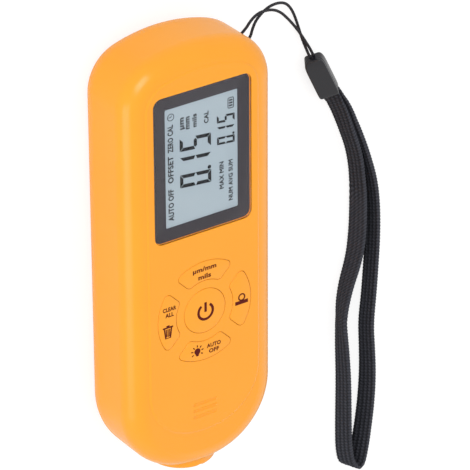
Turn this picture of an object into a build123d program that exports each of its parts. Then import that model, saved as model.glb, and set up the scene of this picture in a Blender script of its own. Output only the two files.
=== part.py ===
from build123d import *
from math import atan2, cos, degrees, pi, radians, sin, sqrt, tan
import os

# A hand-held coating thickness gauge with its wrist strap, in millimetres.
# It lies on its back: x runs across it, y towards its top end, z out of its front.
# The origin is the middle of the gauge's back, under the centre of its box.

# Housing outline, seen from the front
body_width = 49.0
body_length = 131.8
top_arch_radius = 47.5
top_corner_radius = 14.4
lower_arch_past_half = 8.2
lower_corner_inset = 2.4

# Housing section
body_thickness = 25.6
front_round = 5.9
back_round = 8.8
panel_step = 0.3
panel_edge_slope = 62.0
panel_lower_rise = 6.2
wall = 2.0
parting_height = 12.75
lip_width = 0.8
lip_height = 1.0
lip_gap = 0.1

# How far the nose stands out past the housing, and the tip past the nose.
# The tip slides in by as much as it stands out.
nose_overhang = 1.3
tip_overhang = 0.95

# How far a cut reaches past the face that it opens, and the play of pressed parts
cut_past = 1.0
press_play = 0.02

# Display window, and the screen right under it
window_width = 32.0
window_length = 44.3
window_corner = 2.5
window_edge_round = 0.2
window_thickness = 0.85
window_below_panel = 0.1
window_gap = 0.1
tape_thickness = 0.15
tape_inset = 0.2
window_from_top = 34.1
view_width = 23.8
view_length = 36.0
view_corner = 0.4
screen_below_tape = 0.1
screen_side_play = 0.15
ledge_corner = 0.4
screen_glass = 1.0
screen_side_border = 2.6
screen_end_border = 2.8
screen_ledge = 1.9
light_guide_side = 1.5
light_guide_end = 0.6
lamp_width = 3.0
lamp_depth = 1.4
lamp_height = 3.4
lamp_gap = 0.1
rubber_width = 1.8
rubber_gap = 0.2
bezel_wall = 1.2
bezel_play = 0.1
bezel_below_cover = 0.1

# Keys
keypad_share_above = 0.369
power_key_radius = 6.75
ring_key_inner = 9.65
ring_key_outer = 15.45
ring_key_web = 4.5
ring_key_corner = 1.3
key_gap = 0.2
key_proud = 0.12
key_edge_round = 0.35
key_flange_width = 0.75
key_flange_thickness = 0.8
key_stem_radius = 1.6
key_travel = 0.6
key_stop_gap = 0.08

# Sounder, and the shallow grooves in the panel over it
sounder_radius = 4.0
sounder_height = 3.2
sounder_hole_radius = 0.8
groove_length = 8.4
groove_radius = 0.6
groove_depth = 0.32
groove_pitch = 2.0
groove_count = 3
grooves_from_lower_end = 19.3

# Circuit board
board_thickness = 1.6
board_top = 18.0
board_margin = 0.6
board_from_lower_end = 14.0
board_from_top = 10.4
dome_radius = 2.6
dome_height = 0.35
screw_clearance = 0.25
board_notch_past = 0.3
board_corner_span = 31.0
chip_size = 9.0
chip_below_window = 8.7
chip_thickness = 1.35
chip_lift = 0.15
chip_chamfer = 0.5
chip_leg_count = 8
chip_leg_pitch = 0.95
chip_leg_width = 0.35
chip_leg_reach = 1.2
chip_leg_thickness = 0.2
crystal_from_side = 10.5
crystal_length = 8.0
crystal_width = 3.4
crystal_height = 1.4
small_part_round = 0.4

# Battery bay for two AAA cells side by side
cell_radius = 5.15
cell_length = 44.5
cell_nub_radius = 1.9
cell_nub_height = 1.0
cell_gap = 0.8
cell_below_gap = 0.1
cell_edge_round = 0.5
bay_side_gap = 0.4
bay_wall = 1.2
bay_from_lower_end = 22.0
contact_thickness = 0.4
contact_width = 9.4
contact_side_gap = 0.3
contact_roof_gap = 0.2
spring_room = 5.1
bay_spring_wire = 0.35
bay_spring_turns = 3
bay_spring_radius = 3.7
bay_spring_taper = 1.3
spring_points_per_turn = 12
spring_end_play = 0.03

# Battery door, hooked at its lower end and latched at its upper end
door_gap = 0.15
door_inner_gap = 0.05
door_sill = 1.6
hook_width = 4.2
hook_spacing = 14.0
hook_reach = 1.15
hook_thickness = 0.95
hook_root = 1.3
hook_room_above = 0.5
latch_width = 11.0
latch_leg = 0.9
latch_height = 5.4
latch_room = 3.2
latch_swing_gap = 0.4
door_rib_height = 1.8
door_rib_length = 29.6
grip_count = 5
grip_pitch = 1.6
grip_radius = 0.45
grip_from_edge = 6.0
finger_scoop_radius = 9.0
finger_scoop_depth = 1.3
finger_scoop_floor = 1.2
finger_scoop_length = 5.0

# Case screws and board screws
case_screw_radius = 0.95
case_screw_head = 1.9
case_screw_head_height = 1.4
case_screw_seat = 8.5
case_boss_radius = 2.6
case_screw_top = 20.5
case_screw_head_round = 0.4
case_cross_length = 2.4
case_cross_width = 0.5
case_cross_depth = 0.7
board_screw_radius = 0.7
board_screw_head = 1.5
board_screw_head_height = 1.0
board_screw_top = 21.8
board_screw_head_round = 0.3
board_slot_length = 2.0
board_slot_width = 0.4
board_slot_depth = 0.4
screw_end_room = 0.5
board_post_radius = 2.0
upper_screw_x = 10.5
upper_screw_from_top = 8.9
lower_screw_from_side = 12.0
lower_screw_from_end = 16.5
board_screw_from_side = 6.1
board_screw_from_keypad = 21.05

# Measuring probe in the nose
nose_radius = 9.7
nose_gap = 0.15
nose_edge_round = 0.5
nose_notch_width = 3.2
nose_notch_depth = 0.5
nose_mouth_radius = 5.2
nose_mouth_depth = 1.2
nose_ear_reach = 11.8
nose_ear_height = 9.0
nose_ear_thickness = 1.6
barrel_radius = 7.0
barrel_behind_rim = 11.35
cradle_gap = 0.15
cradle_thickness = 1.2
cradle_past_ears = 1.0
cradle_from_parting = 2.9
sleeve_radius = 4.0
sleeve_wall = 0.7
sleeve_tip_setback = 0.6
sleeve_behind_rim = 12.95
sleeve_tip_chamfer = 0.3
guide_gap = 0.06
clip_radius = 5.6
clip_thickness = 0.8
clip_groove = 0.35
clip_play = 0.08
clip_opening = 2.8
pin_radius = 1.2
pin_behind_rim = 10.35
spool_tube = 1.8
spool_flange = 0.7
spool_setback = 0.3
spool_behind_rim = 9.35
coil_radius = 2.9
spring_wall_behind_rim = 16.95
spring_wall_thickness = 1.4
probe_spring_wire = 0.22
probe_spring_turns = 3.5
probe_spring_gap = 0.3

# Strap eyelet in the upper right corner
eyelet_angle = 31.0
eyelet_half_span = 19.0
eyelet_height = 4.0
eyelet_depth = 4.8
eyelet_post_radius = 1.2
eyelet_post_depth = 1.9
eyelet_wall = 1.2

# Strap
string_radius = 0.4
string_gap = 0.1
string_mouth_reach = 1.4
webbing_width = 6.0
webbing_thickness = 1.2
clamp_length = 12.9
clamp_width = 6.4
clamp_thickness = 3.6
clamp_roll = 30.0
clamp_long_round = 1.1
clamp_end_round = 0.6
clamp_string_end = (52.7, 39.9)
clamp_webbing_end = (58.3, 28.3)

# Places worked out from the sizes above
half_width = body_width / 2
lower_arch_radius = half_width + lower_arch_past_half
lower_corner_radius = half_width - lower_corner_inset
top_end = (body_length + nose_overhang + tip_overhang) / 2
lower_end = top_end - body_length
nose_end = lower_end - nose_overhang
tip_end = nose_end - tip_overhang
barrel_end = nose_end + barrel_behind_rim
sleeve_end = nose_end + sleeve_behind_rim
pin_end = nose_end + pin_behind_rim
spool_end = nose_end + spool_behind_rim
spring_wall_y = nose_end + spring_wall_behind_rim
shoulder_height = body_thickness - panel_step
inner_front = shoulder_height - wall
window_y = top_end - window_from_top
window_top = body_thickness - window_below_panel
window_bottom = window_top - window_thickness
ledge_top = window_bottom - tape_thickness
screen_top = ledge_top - screen_below_tape
screen_middle = screen_top - screen_glass
screen_bottom = screen_middle - screen_glass
screen_width = view_width + 2 * screen_side_border
screen_length = view_length + 2 * screen_end_border
light_guide_reach = view_length / 2 + light_guide_end
window_lower_edge = window_y - window_length / 2
grooves_y = lower_end + grooves_from_lower_end
keypad_room = window_lower_edge - grooves_y - 2 * ring_key_outer
keypad_y = window_lower_edge - keypad_room * keypad_share_above - ring_key_outer
board_bottom = board_top - board_thickness
board_lower_end = lower_end + board_from_lower_end
board_upper_end = top_end - board_from_top
board_screw_x = half_width - board_screw_from_side
lower_screw_x = half_width - lower_screw_from_side
lower_screw_y = lower_end + lower_screw_from_end
crystal_x = crystal_from_side - half_width
chip_y = window_y - chip_below_window
bay_lower_end = lower_end + bay_from_lower_end
cell_x = cell_radius + cell_gap / 2
cell_z = wall + cell_below_gap + cell_radius
bay_half = cell_x + cell_radius + bay_side_gap
bay_upper_end = bay_lower_end + 2 * contact_thickness + spring_room + cell_length
bay_roof = cell_z + cell_radius + bay_side_gap
door_lower_edge = bay_lower_end - bay_wall - door_sill
door_upper_edge = bay_upper_end + bay_wall + latch_room
door_plate_end = bay_upper_end + bay_wall / 2
door_half = bay_half + bay_wall / 2


def outline_arcs(inset):
    """Arch and corner centres and the corner angles of the outline moved in by inset."""
    top_arch_y = top_end - top_arch_radius
    lower_arch_y = lower_end + lower_arch_radius
    top_x = half_width - top_corner_radius
    lower_x = half_width - lower_corner_radius
    top_y = top_arch_y + sqrt((top_arch_radius - top_corner_radius) ** 2 - top_x ** 2)
    lower_y = lower_arch_y - sqrt((lower_arch_radius - lower_corner_radius) ** 2 - lower_x ** 2)
    top_angle = degrees(atan2(top_y - top_arch_y, top_x))
    lower_angle = degrees(atan2(lower_arch_y - lower_y, lower_x))
    return top_arch_y, lower_arch_y, top_x, top_y, lower_x, lower_y, top_angle, lower_angle


def housing_face(inset, height):
    """The outline of the housing, moved in by inset, as a flat face at a height."""
    top_arch_y, lower_arch_y, top_x, top_y, lower_x, lower_y, top_angle, lower_angle = outline_arcs(inset)
    half = half_width - inset
    top_corner = top_corner_radius - inset
    lower_corner = lower_corner_radius - inset
    edges = [
        CenterArc((top_x, top_y), top_corner, 0, top_angle),
        CenterArc((0, top_arch_y), top_arch_radius - inset, top_angle, 180 - 2 * top_angle),
        CenterArc((-top_x, top_y), top_corner, 180 - top_angle, top_angle),
        Line((-half, top_y), (-half, lower_y)),
        CenterArc((-lower_x, lower_y), lower_corner, 180, lower_angle),
        CenterArc((0, lower_arch_y), lower_arch_radius - inset, 180 + lower_angle, 180 - 2 * lower_angle),
        CenterArc((lower_x, lower_y), lower_corner, 360 - lower_angle, lower_angle),
        Line((half, lower_y), (half, top_y)),
    ]
    return Pos(0, 0, height) * Face(Wire(edges))


def housing_block(inset):
    """The housing's rounded body, moved in by inset on every side."""
    height = shoulder_height - 2 * inset
    body = extrude(housing_face(inset, inset), amount=height)
    body = fillet(body.edges().group_by(Axis.Z)[0], back_round - inset)
    return fillet(body.edges().group_by(Axis.Z)[-1], front_round - inset)


def block(x0, x1, y0, y1, z0, z1):
    """A box between two opposite corners."""
    return Pos((x0 + x1) / 2, (y0 + y1) / 2, (z0 + z1) / 2) * Box(x1 - x0, y1 - y0, z1 - z0)


def rod_y(radius, y0, y1, x, z):
    """A round rod along y."""
    return Pos(x, (y0 + y1) / 2, z) * Rot(90, 0, 0) * Cylinder(radius, y1 - y0)


def rod_z(radius, x, y, z0, z1):
    """A round rod along z."""
    return Pos(x, y, (z0 + z1) / 2) * Cylinder(radius, z1 - z0)


def rounded_plate(width, length, corner, y, z0, z1):
    """A flat plate with rounded corners, centred across the gauge."""
    return Pos(0, y, z0) * extrude(RectangleRounded(width, length, corner), amount=z1 - z0)


def window_plate(grow, z0, z1):
    """The display window's plate, grown by a margin on every side."""
    width = window_width + 2 * grow
    length = window_length + 2 * grow
    return rounded_plate(width, length, window_corner + grow, window_y, z0, z1)


def ring_face(grow):
    """The outline of one ring key, the one towards the window, grown by a margin."""
    ring = Circle(ring_key_outer + grow) - Circle(ring_key_inner - grow)
    web = ring_key_web - 2 * grow
    span = 4 * ring_key_outer
    ring = ring - Rot(0, 0, 45) * Rectangle(span, web) - Rot(0, 0, -45) * Rectangle(span, web)
    sector = Face(ring.faces().sort_by(Axis.Y)[-1].outer_wire())
    return sector.fillet_2d(ring_key_corner + grow, sector.vertices())


def key_shape(turn, grow, z0, z1):
    """A ring key's column, turned about the keypad's centre."""
    return Pos(0, keypad_y, z0) * Rot(0, 0, turn) * extrude(ring_face(grow), amount=z1 - z0)


def case_screw_places():
    """Centres of the four case screws."""
    upper_y = top_end - upper_screw_from_top
    upper = [(-upper_screw_x, upper_y), (upper_screw_x, upper_y)]
    lower = [(-lower_screw_x, lower_screw_y), (lower_screw_x, lower_screw_y)]
    return upper + lower


def board_screw_places():
    """Centres of the four screws that hold the circuit board."""
    upper = keypad_y + board_screw_from_keypad
    lower = keypad_y - board_screw_from_keypad
    return [(side * board_screw_x, y) for y in (upper, lower) for side in (-1, 1)]


def eyelet_sector(inner, outer, half_span, z0, z1):
    """A piece of a ring about the upper right corner's centre."""
    top_x, top_y = outline_arcs(0)[2:4]
    ring = Circle(outer) - Circle(inner)
    reach = 2 * outer
    start = radians(eyelet_angle - half_span)
    end = radians(eyelet_angle + half_span)
    wedge = make_face(Polyline(
        (0, 0),
        (reach * cos(start), reach * sin(start)),
        (reach * cos(end), reach * sin(end)),
        close=True,
    ))
    return Pos(top_x, top_y, z0) * extrude(ring & wedge, amount=z1 - z0)


def eyelet_post_centre():
    """The middle of the post that the strap's string goes round."""
    top_x, top_y = outline_arcs(0)[2:4]
    reach = top_corner_radius - eyelet_post_depth
    angle = radians(eyelet_angle)
    return Vector(top_x + reach * cos(angle), top_y + reach * sin(angle), parting_height)


def eyelet_pocket_walls():
    """Solid corner that the string's pocket is cut from, before it is parted."""
    half = eyelet_height / 2 + eyelet_wall
    inner = top_corner_radius - eyelet_depth - eyelet_wall
    outer = top_corner_radius - wall / 2
    margin = degrees(eyelet_wall / (top_corner_radius - eyelet_depth))
    return eyelet_sector(inner, outer, eyelet_half_span + margin, parting_height - half, parting_height + half)


def eyelet_pocket():
    """The slot and the room behind it, with the post left standing."""
    half = eyelet_height / 2
    inner = top_corner_radius - eyelet_depth
    outer = top_corner_radius + wall
    room = eyelet_sector(inner, outer, eyelet_half_span, parting_height - half, parting_height + half)
    centre = eyelet_post_centre()
    return room - rod_z(eyelet_post_radius, centre.X, centre.Y, parting_height - half, parting_height + half)


def lip_ring(gap, height):
    """The lip on the rear cover, or with a gap the rebate that it fits in."""
    outer = housing_face(wall - lip_width - gap, parting_height)
    inner = housing_face(wall + gap, parting_height)
    return extrude(outer, amount=height) - extrude(inner, amount=height)


def nose_ear_front():
    """Where the end wall's inner face is beside the nose, at the ears' reach."""
    lower_arch_y = lower_end + lower_arch_radius
    inner_radius = lower_arch_radius - wall
    return lower_arch_y - sqrt(inner_radius ** 2 - nose_ear_reach ** 2) + nose_gap


def cradle(z0, z1):
    """A rib across the housing that holds the back of the nose."""
    y0 = nose_ear_front() + nose_ear_thickness + nose_gap
    half = nose_ear_reach + cradle_past_ears
    rib = block(-half, half, y0, y0 + cradle_thickness, z0, z1)
    return rib - rod_y(barrel_radius + cradle_gap, y0 - wall, y0 + 2 * wall, 0, parting_height)


def nose_opening():
    """The round hole in the end walls that the nose passes through."""
    return rod_y(nose_radius + nose_gap, nose_end - 1, nose_ear_front(), 0, parting_height)


def housing_shell():
    """The closed housing wall, with the raised front panel.

    The panel follows the housing's outline, with a sloping edge, but ends short of the nose.
    """
    outline = housing_face(front_round, shoulder_height)
    outline = outline & (Pos(0, panel_lower_rise, 0) * outline)
    panel = extrude(outline, amount=panel_step, taper=panel_edge_slope)
    return housing_block(0) + panel - housing_block(wall)


def panel_grooves():
    """Rods with round ends that cut the shallow grooves in the front panel."""
    height = body_thickness + groove_radius - groove_depth
    half = groove_length / 2 - groove_radius
    grooves = None
    for i in range(groove_count):
        y = grooves_y + (i - (groove_count - 1) / 2) * groove_pitch
        groove = Pos(0, y, height) * Rot(0, 90, 0) * Cylinder(groove_radius, 2 * half)
        for side in (-1, 1):
            groove = groove + Pos(side * half, y, height) * Sphere(groove_radius)
        grooves = groove if grooves is None else grooves + groove
    return grooves


def front_cover(shell):
    """The front half: window ledge, key openings, grooves, bosses and posts."""
    reach = body_length
    above = block(-reach, reach, -reach, reach, parting_height, 2 * body_thickness)
    cover = shell & above
    inside = housing_block(wall / 2)
    cavity_part = block(-reach, reach, -reach, reach, parting_height, inner_front + wall / 2)
    extras = cradle(parting_height + cradle_from_parting, inner_front + wall / 2)
    for x, y in case_screw_places():
        extras = extras + rod_z(case_boss_radius, x, y, parting_height, inner_front + wall / 2)
    for x, y in board_screw_places():
        extras = extras + rod_z(board_post_radius, x, y, board_top, inner_front + wall / 2)
    cover = cover + ((extras + eyelet_pocket_walls()) & inside & cavity_part)
    cover = cover - window_plate(window_gap, ledge_top, 2 * body_thickness)
    width = screen_width + 2 * screen_side_play
    length = screen_length + 2 * screen_side_play
    cover = cover - rounded_plate(width, length, ledge_corner, window_y, parting_height, 2 * body_thickness)
    top = 2 * body_thickness
    cover = cover - rod_z(power_key_radius + key_gap, 0, keypad_y, inner_front - wall, top)
    for turn in (0, 90, 180, 270):
        cover = cover - key_shape(turn, key_gap, inner_front - wall, top)
    cover = cover - panel_grooves()
    for x, y in case_screw_places():
        cover = cover - rod_z(case_screw_radius + guide_gap, x, y, parting_height - cut_past, case_screw_top + screw_end_room)
    for x, y in board_screw_places():
        cover = cover - rod_z(board_screw_radius + guide_gap, x, y, board_top - cut_past, board_screw_top + screw_end_room)
    cover = cover - lip_ring(lip_gap, lip_height + lip_gap)
    return cover - eyelet_pocket() - nose_opening()


def bay_walls():
    """The battery bay's walls and roof, open towards the back."""
    outer = block(
        -bay_half - bay_wall, bay_half + bay_wall,
        bay_lower_end - bay_wall, bay_upper_end + bay_wall,
        wall / 2, bay_roof + bay_wall,
    )
    inner = block(-bay_half, bay_half, bay_lower_end, bay_upper_end, 0, bay_roof)
    return outer - inner


def hook_room(z1):
    """Notches in the bay's lower wall that the door's hooks swing through."""
    y1 = bay_lower_end + contact_thickness / 2
    room = None
    for side in (-1, 1):
        x = side * hook_spacing / 2
        half = hook_width / 2 + 2 * door_gap
        notch = block(x - half, x + half, door_lower_edge, y1, 0, z1)
        room = notch if room is None else room + notch
    return room


def latch_box():
    """The pocket beyond the bay that the door's latch goes into."""
    half = latch_width / 2 + bay_wall + door_gap
    top = latch_height + wall
    outer = block(-half, half, bay_upper_end, door_upper_edge + bay_wall, wall / 2, top)
    inner = block(
        -half + bay_wall, half - bay_wall, bay_upper_end + bay_wall, door_upper_edge, 0, top - bay_wall,
    )
    return outer, inner


def spring_wall():
    """The wall between the lower screw bosses that the probe's spring pushes on."""
    y1 = spring_wall_y + spring_wall_thickness
    low = block(-lower_screw_x, lower_screw_x, spring_wall_y, y1, wall / 2, parting_height - lip_gap)
    half = lower_screw_x - case_boss_radius - screw_clearance
    return low + block(-half, half, spring_wall_y, y1, wall / 2, board_bottom - screw_clearance)


def rear_cover(shell):
    """The back half: battery bay, door opening, screw wells, probe cradle and eyelet."""
    reach = body_length
    below = block(-reach, reach, -reach, reach, -1, parting_height)
    cover = shell & below
    inside = housing_block(wall / 2)
    latch_outer, latch_inner = latch_box()
    extras = bay_walls() + latch_outer + cradle(wall / 2, parting_height - cradle_from_parting)
    extras = extras + spring_wall()
    for x, y in case_screw_places():
        extras = extras + rod_z(case_boss_radius, x, y, wall / 2, parting_height)
    scoop_y = door_upper_edge + latch_leg
    extras = extras + block(
        -latch_width / 2, latch_width / 2, door_upper_edge, door_upper_edge + finger_scoop_length,
        wall / 2, finger_scoop_depth + finger_scoop_floor,
    )
    cover = cover + (extras & inside)
    pocket = eyelet_pocket_walls() & inside & below
    cover = cover + pocket + lip_ring(0, lip_height)
    opening = block(-door_half, door_half, door_lower_edge, door_plate_end, -1, wall)
    cover = cover - opening
    cover = cover - block(-bay_half, bay_half, bay_lower_end, bay_upper_end, -1, bay_roof)
    cover = cover - hook_room(wall + hook_thickness + hook_room_above) - latch_inner
    cover = cover - block(
        -latch_width / 2 - door_gap, latch_width / 2 + door_gap, bay_upper_end, door_upper_edge, -1, wall,
    )
    lift = finger_scoop_radius - finger_scoop_depth
    cover = cover - Pos(0, scoop_y, -lift) * Sphere(finger_scoop_radius)
    for x, y in case_screw_places():
        cover = cover - rod_z(case_screw_head + screw_clearance, x, y, -1, case_screw_seat)
        cover = cover - rod_z(case_screw_radius + screw_clearance, x, y, 0, parting_height + 1)
    return cover - eyelet_pocket() - nose_opening()


def battery_door():
    """The door: a plate with two hooks, two ribs that steady the cells and a latch."""
    half = door_half - door_gap
    y0 = door_lower_edge + door_gap
    y1 = door_plate_end - door_gap
    plate = block(-half, half, y0, y1, 0, wall - door_inner_gap)
    for side in (-1, 1):
        x = side * hook_spacing / 2
        x0 = x - hook_width / 2
        x1 = x + hook_width / 2
        top = wall + door_gap + hook_thickness
        plate = plate + block(x0, x1, y0, y0 + hook_root, 0, top)
        plate = plate + block(x0, x1, y0 - hook_reach, y0, wall + door_gap, top)
    rib_half = cell_gap / 2 + door_gap
    rib_top = wall + cell_below_gap + door_rib_height
    rib_y = (bay_lower_end + bay_upper_end) / 2
    rib_end = door_rib_length / 2
    plate = plate + block(-rib_half, rib_half, rib_y - rib_end, rib_y + rib_end, 0, rib_top)
    latch_half = latch_width / 2
    leg_y = bay_upper_end + bay_wall + door_gap
    far = door_upper_edge - latch_swing_gap
    tongue = block(-latch_half, latch_half, y1 - latch_leg, leg_y + latch_leg, 0, wall - door_inner_gap)
    tongue = tongue + block(-latch_half, latch_half, leg_y, leg_y + latch_leg, 0, latch_height)
    tongue = tongue + block(-latch_half, latch_half, far - latch_leg, far, 0, latch_height)
    tongue = tongue + block(-latch_half, latch_half, leg_y, far, latch_height - latch_leg, latch_height)
    door = plate + tongue
    for i in range(grip_count):
        y = y1 - grip_from_edge - i * grip_pitch
        door = door - Pos(0, y, 0) * Rot(0, 90, 0) * Cylinder(grip_radius, latch_width)
    return door


def display_window():
    """The clear window, set in the front cover's recess."""
    lens = window_plate(0, window_bottom, window_top)
    return fillet(lens.edges().group_by(Axis.Z)[-1], window_edge_round)


def window_tape():
    """The dark adhesive frame under the window, which bounds what is seen."""
    frame = window_plate(-tape_inset, ledge_top, window_bottom)
    low = ledge_top - cut_past
    high = window_bottom + cut_past
    return frame - rounded_plate(view_width, view_length, view_corner, window_y, low, high)


def screen():
    """The liquid crystal screen: two glass plates, the lower one longer at its lower end."""
    half = screen_width / 2
    y0 = window_y - screen_length / 2
    y1 = window_y + screen_length / 2
    low = block(-half, half, y0, y1, screen_bottom, screen_middle)
    return low + block(-half, half, y0 + screen_ledge, y1, screen_middle, screen_top)


def light_guide():
    """The milky block that carries the screen and spreads the back light under it."""
    half = view_width / 2 + light_guide_side
    y0 = window_y - light_guide_reach
    y1 = window_y + light_guide_reach
    return block(-half, half, y0, y1, board_top, screen_bottom)


def back_lights():
    """Two lamps on the circuit board that shine into the light guide's upper end."""
    y0 = window_y + light_guide_reach + lamp_gap
    half = lamp_width / 2
    lamps = None
    for side in (-1, 1):
        x = side * view_width / 4
        lamp = block(x - half, x + half, y0, y0 + lamp_depth, board_top, board_top + lamp_height)
        lamps = lamp if lamps is None else lamps + lamp
    return lamps


def rubber_connector():
    """The striped rubber strip that joins the screen's lower ledge to the board."""
    half = view_width / 2
    y1 = window_y - light_guide_reach - rubber_gap
    return block(-half, half, y1 - rubber_width, y1, board_top, screen_bottom)


def screen_bezel():
    """The black frame on the board that holds the screen, the light guide and the rubber strip."""
    half_x = screen_width / 2 + bezel_play
    half_y = screen_length / 2 + bezel_play
    outer = block(
        -half_x - bezel_wall, half_x + bezel_wall,
        window_y - half_y - bezel_wall, window_y + half_y + bezel_wall,
        board_top, inner_front - bezel_below_cover,
    )
    outer = fillet(outer.edges().filter_by(Axis.Z), bezel_wall)
    pocket = block(-half_x, half_x, window_y - half_y, window_y + half_y, screen_bottom, body_thickness)
    room_x = view_width / 2 + light_guide_side + bezel_play
    room_y0 = window_y - light_guide_reach - rubber_gap - rubber_width - bezel_play
    room_y1 = window_y + light_guide_reach + lamp_gap + lamp_depth + bezel_play
    return outer - pocket - block(-room_x, room_x, room_y0, room_y1, 0, screen_middle)


def circuit_board():
    """The board, shaped to the housing, with holes for bosses, screws and the spring."""
    face = housing_face(wall + board_margin, board_bottom)
    board = extrude(face, amount=board_thickness)
    board = board & block(-body_width, body_width, board_lower_end, board_upper_end, 0, body_thickness)
    hole = case_boss_radius + 2 * screw_clearance
    for x, y in case_screw_places():
        board = board - rod_z(hole, x, y, 0, body_thickness)
    for x, y in board_screw_places():
        board = board - rod_z(board_screw_radius + screw_clearance, x, y, 0, body_thickness)
    notch = clip_radius
    notch_end = spring_wall_y + board_notch_past
    board = board - block(-notch, notch, board_lower_end - cut_past, notch_end, 0, body_thickness)
    corner = eyelet_sector(
        top_corner_radius - eyelet_depth - eyelet_wall - board_margin, top_corner_radius + wall,
        board_corner_span, 0, body_thickness,
    )
    return board - corner


def main_chip():
    """The measuring chip under the board, with its rows of legs."""
    half = chip_size / 2
    top = board_bottom - chip_lift
    body = block(-half, half, chip_y - half, chip_y + half, top - chip_thickness, top)
    body = chamfer(body.edges().filter_by(Axis.Z), chip_chamfer)
    leg = Box(chip_size + 2 * chip_leg_reach, chip_leg_width, chip_leg_thickness)
    leg_z = board_bottom - chip_leg_thickness / 2
    for i in range(chip_leg_count):
        offset = (i - (chip_leg_count - 1) / 2) * chip_leg_pitch
        for turn in (0, 90):
            body = body + Pos(0, chip_y, leg_z) * Rot(0, 0, turn) * Pos(0, offset, 0) * leg
    return body


def crystal_can():
    """The quartz crystal's can beside the chip."""
    can = extrude(SlotOverall(crystal_length, crystal_width), amount=crystal_height)
    can = fillet(can.edges().group_by(Axis.Z)[0], small_part_round)
    return Pos(crystal_x, chip_y, board_bottom - crystal_height) * can


def sounder():
    """The round sounder under the grooves, with the hole in its top."""
    can = rod_z(sounder_radius, 0, grooves_y, board_top, board_top + sounder_height)
    can = fillet(can.edges().group_by(Axis.Z)[-1], small_part_round)
    return can - rod_z(sounder_hole_radius, 0, grooves_y, board_top + sounder_height / 2, body_thickness)


def key_centre_reach():
    """Distance of a ring key's stem from the keypad's centre."""
    return (ring_key_inner + ring_key_outer) / 2


def key_parts(column, flange, x, y):
    """One key: its cap, its flange behind the cover and its stem."""
    cap = fillet(column.edges().group_by(Axis.Z)[-1], key_edge_round)
    stem_end = board_top + dome_height + key_travel + key_stop_gap
    flange_bottom = inner_front - key_stop_gap - key_flange_thickness
    return cap + flange + rod_z(key_stem_radius, x, y, stem_end, flange_bottom + key_flange_thickness / 2)


def power_key():
    """The round key in the middle."""
    top = body_thickness + key_proud
    flange_top = inner_front - key_stop_gap
    flange_bottom = flange_top - key_flange_thickness
    column = rod_z(power_key_radius, 0, keypad_y, flange_bottom, top)
    flange = rod_z(power_key_radius + key_flange_width, 0, keypad_y, flange_bottom, flange_top)
    return key_parts(column, flange, 0, keypad_y)


def ring_key(turn):
    """One of the four keys in the ring, turned to its place."""
    top = body_thickness + key_proud
    flange_top = inner_front - key_stop_gap
    flange_bottom = flange_top - key_flange_thickness
    column = key_shape(turn, 0, flange_bottom, top)
    flange = key_shape(turn, key_flange_width, flange_bottom, flange_top)
    reach = key_centre_reach()
    x = -reach * sin(radians(turn))
    y = keypad_y + reach * cos(radians(turn))
    return key_parts(column, flange, x, y)


def switch_domes():
    """The five snap domes on the board, one under each stem."""
    places = [(0, 0)]
    for turn in (0, 90, 180, 270):
        reach = key_centre_reach()
        places.append((-reach * sin(radians(turn)), reach * cos(radians(turn))))
    ball = (dome_radius ** 2 + dome_height ** 2) / (2 * dome_height)
    domes = None
    for x, y in places:
        cap = Pos(x, keypad_y + y, board_top + dome_height - ball) * Sphere(ball)
        cap = cap & rod_z(dome_radius, x, keypad_y + y, board_top, board_top + dome_height)
        domes = cap if domes is None else domes + cap
    return domes


def battery(side):
    """An AAA cell; the left one points up, the right one down."""
    plate_end = bay_upper_end - contact_thickness
    x = side * cell_x
    if side < 0:
        tip = plate_end
        can = rod_y(cell_radius, tip - cell_length, tip - cell_nub_height, x, cell_z)
        nub = rod_y(cell_nub_radius, tip - cell_nub_height, tip, x, cell_z)
    else:
        tip = bay_lower_end + contact_thickness
        can = rod_y(cell_radius, tip + cell_nub_height, tip + cell_length, x, cell_z)
        nub = rod_y(cell_nub_radius, tip, tip + cell_nub_height, x, cell_z)
    can = fillet(can.edges(), cell_edge_round)
    return can + nub


def contact_plate(x0, x1, y0):
    """A thin contact plate in the bay."""
    z0 = wall + hook_thickness + hook_room_above
    z1 = bay_roof - contact_roof_gap
    return block(x0, x1, y0, y0 + contact_thickness, z0, z1)


def spring_wire(wire, first_radius, last_radius, height, turns):
    """A coil spring's wire along z, as tangent arcs between points on its helix."""
    count = round(turns * spring_points_per_turn)
    points = []
    for i in range(count + 1):
        share = i / count
        angle = 2 * pi * turns * share
        radius = first_radius + (last_radius - first_radius) * share
        points.append(Vector(radius * cos(angle), radius * sin(angle), height * share))
    path = FilletPolyline(*points, radius=corner_radii(points))
    section = Plane(origin=path @ 0, z_dir=path % 0) * Circle(wire)
    return sweep(section, path=path)


def contact_spring(x, y0, y1):
    """A conical wire spring that presses on a cell's flat end, narrow end on the cell."""
    wire = bay_spring_wire
    end_gap = wire + spring_end_play
    height = abs(y1 - y0) - 2 * end_gap
    coil = spring_wire(wire, bay_spring_radius, bay_spring_radius - bay_spring_taper, height, bay_spring_turns)
    direction = 1 if y1 > y0 else -1
    return Pos(x, y0 + direction * end_gap, cell_z) * Rot(-90 * direction, 0, 0) * coil


def case_screws():
    """Four countersunk wells' screws, as a group."""
    screws = None
    for x, y in case_screw_places():
        head_bottom = case_screw_seat - case_screw_head_height
        head = rod_z(case_screw_head, x, y, head_bottom, case_screw_seat)
        head = fillet(head.edges().group_by(Axis.Z)[0], case_screw_head_round)
        z0 = head_bottom - cut_past
        z1 = head_bottom + case_cross_depth
        long = case_cross_length / 2
        narrow = case_cross_width / 2
        slot = block(x - narrow, x + narrow, y - long, y + long, z0, z1)
        cross = block(x - long, x + long, y - narrow, y + narrow, z0, z1)
        screw = head + rod_z(case_screw_radius, x, y, case_screw_seat, case_screw_top) - slot - cross
        screws = screw if screws is None else screws + screw
    return screws


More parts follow.
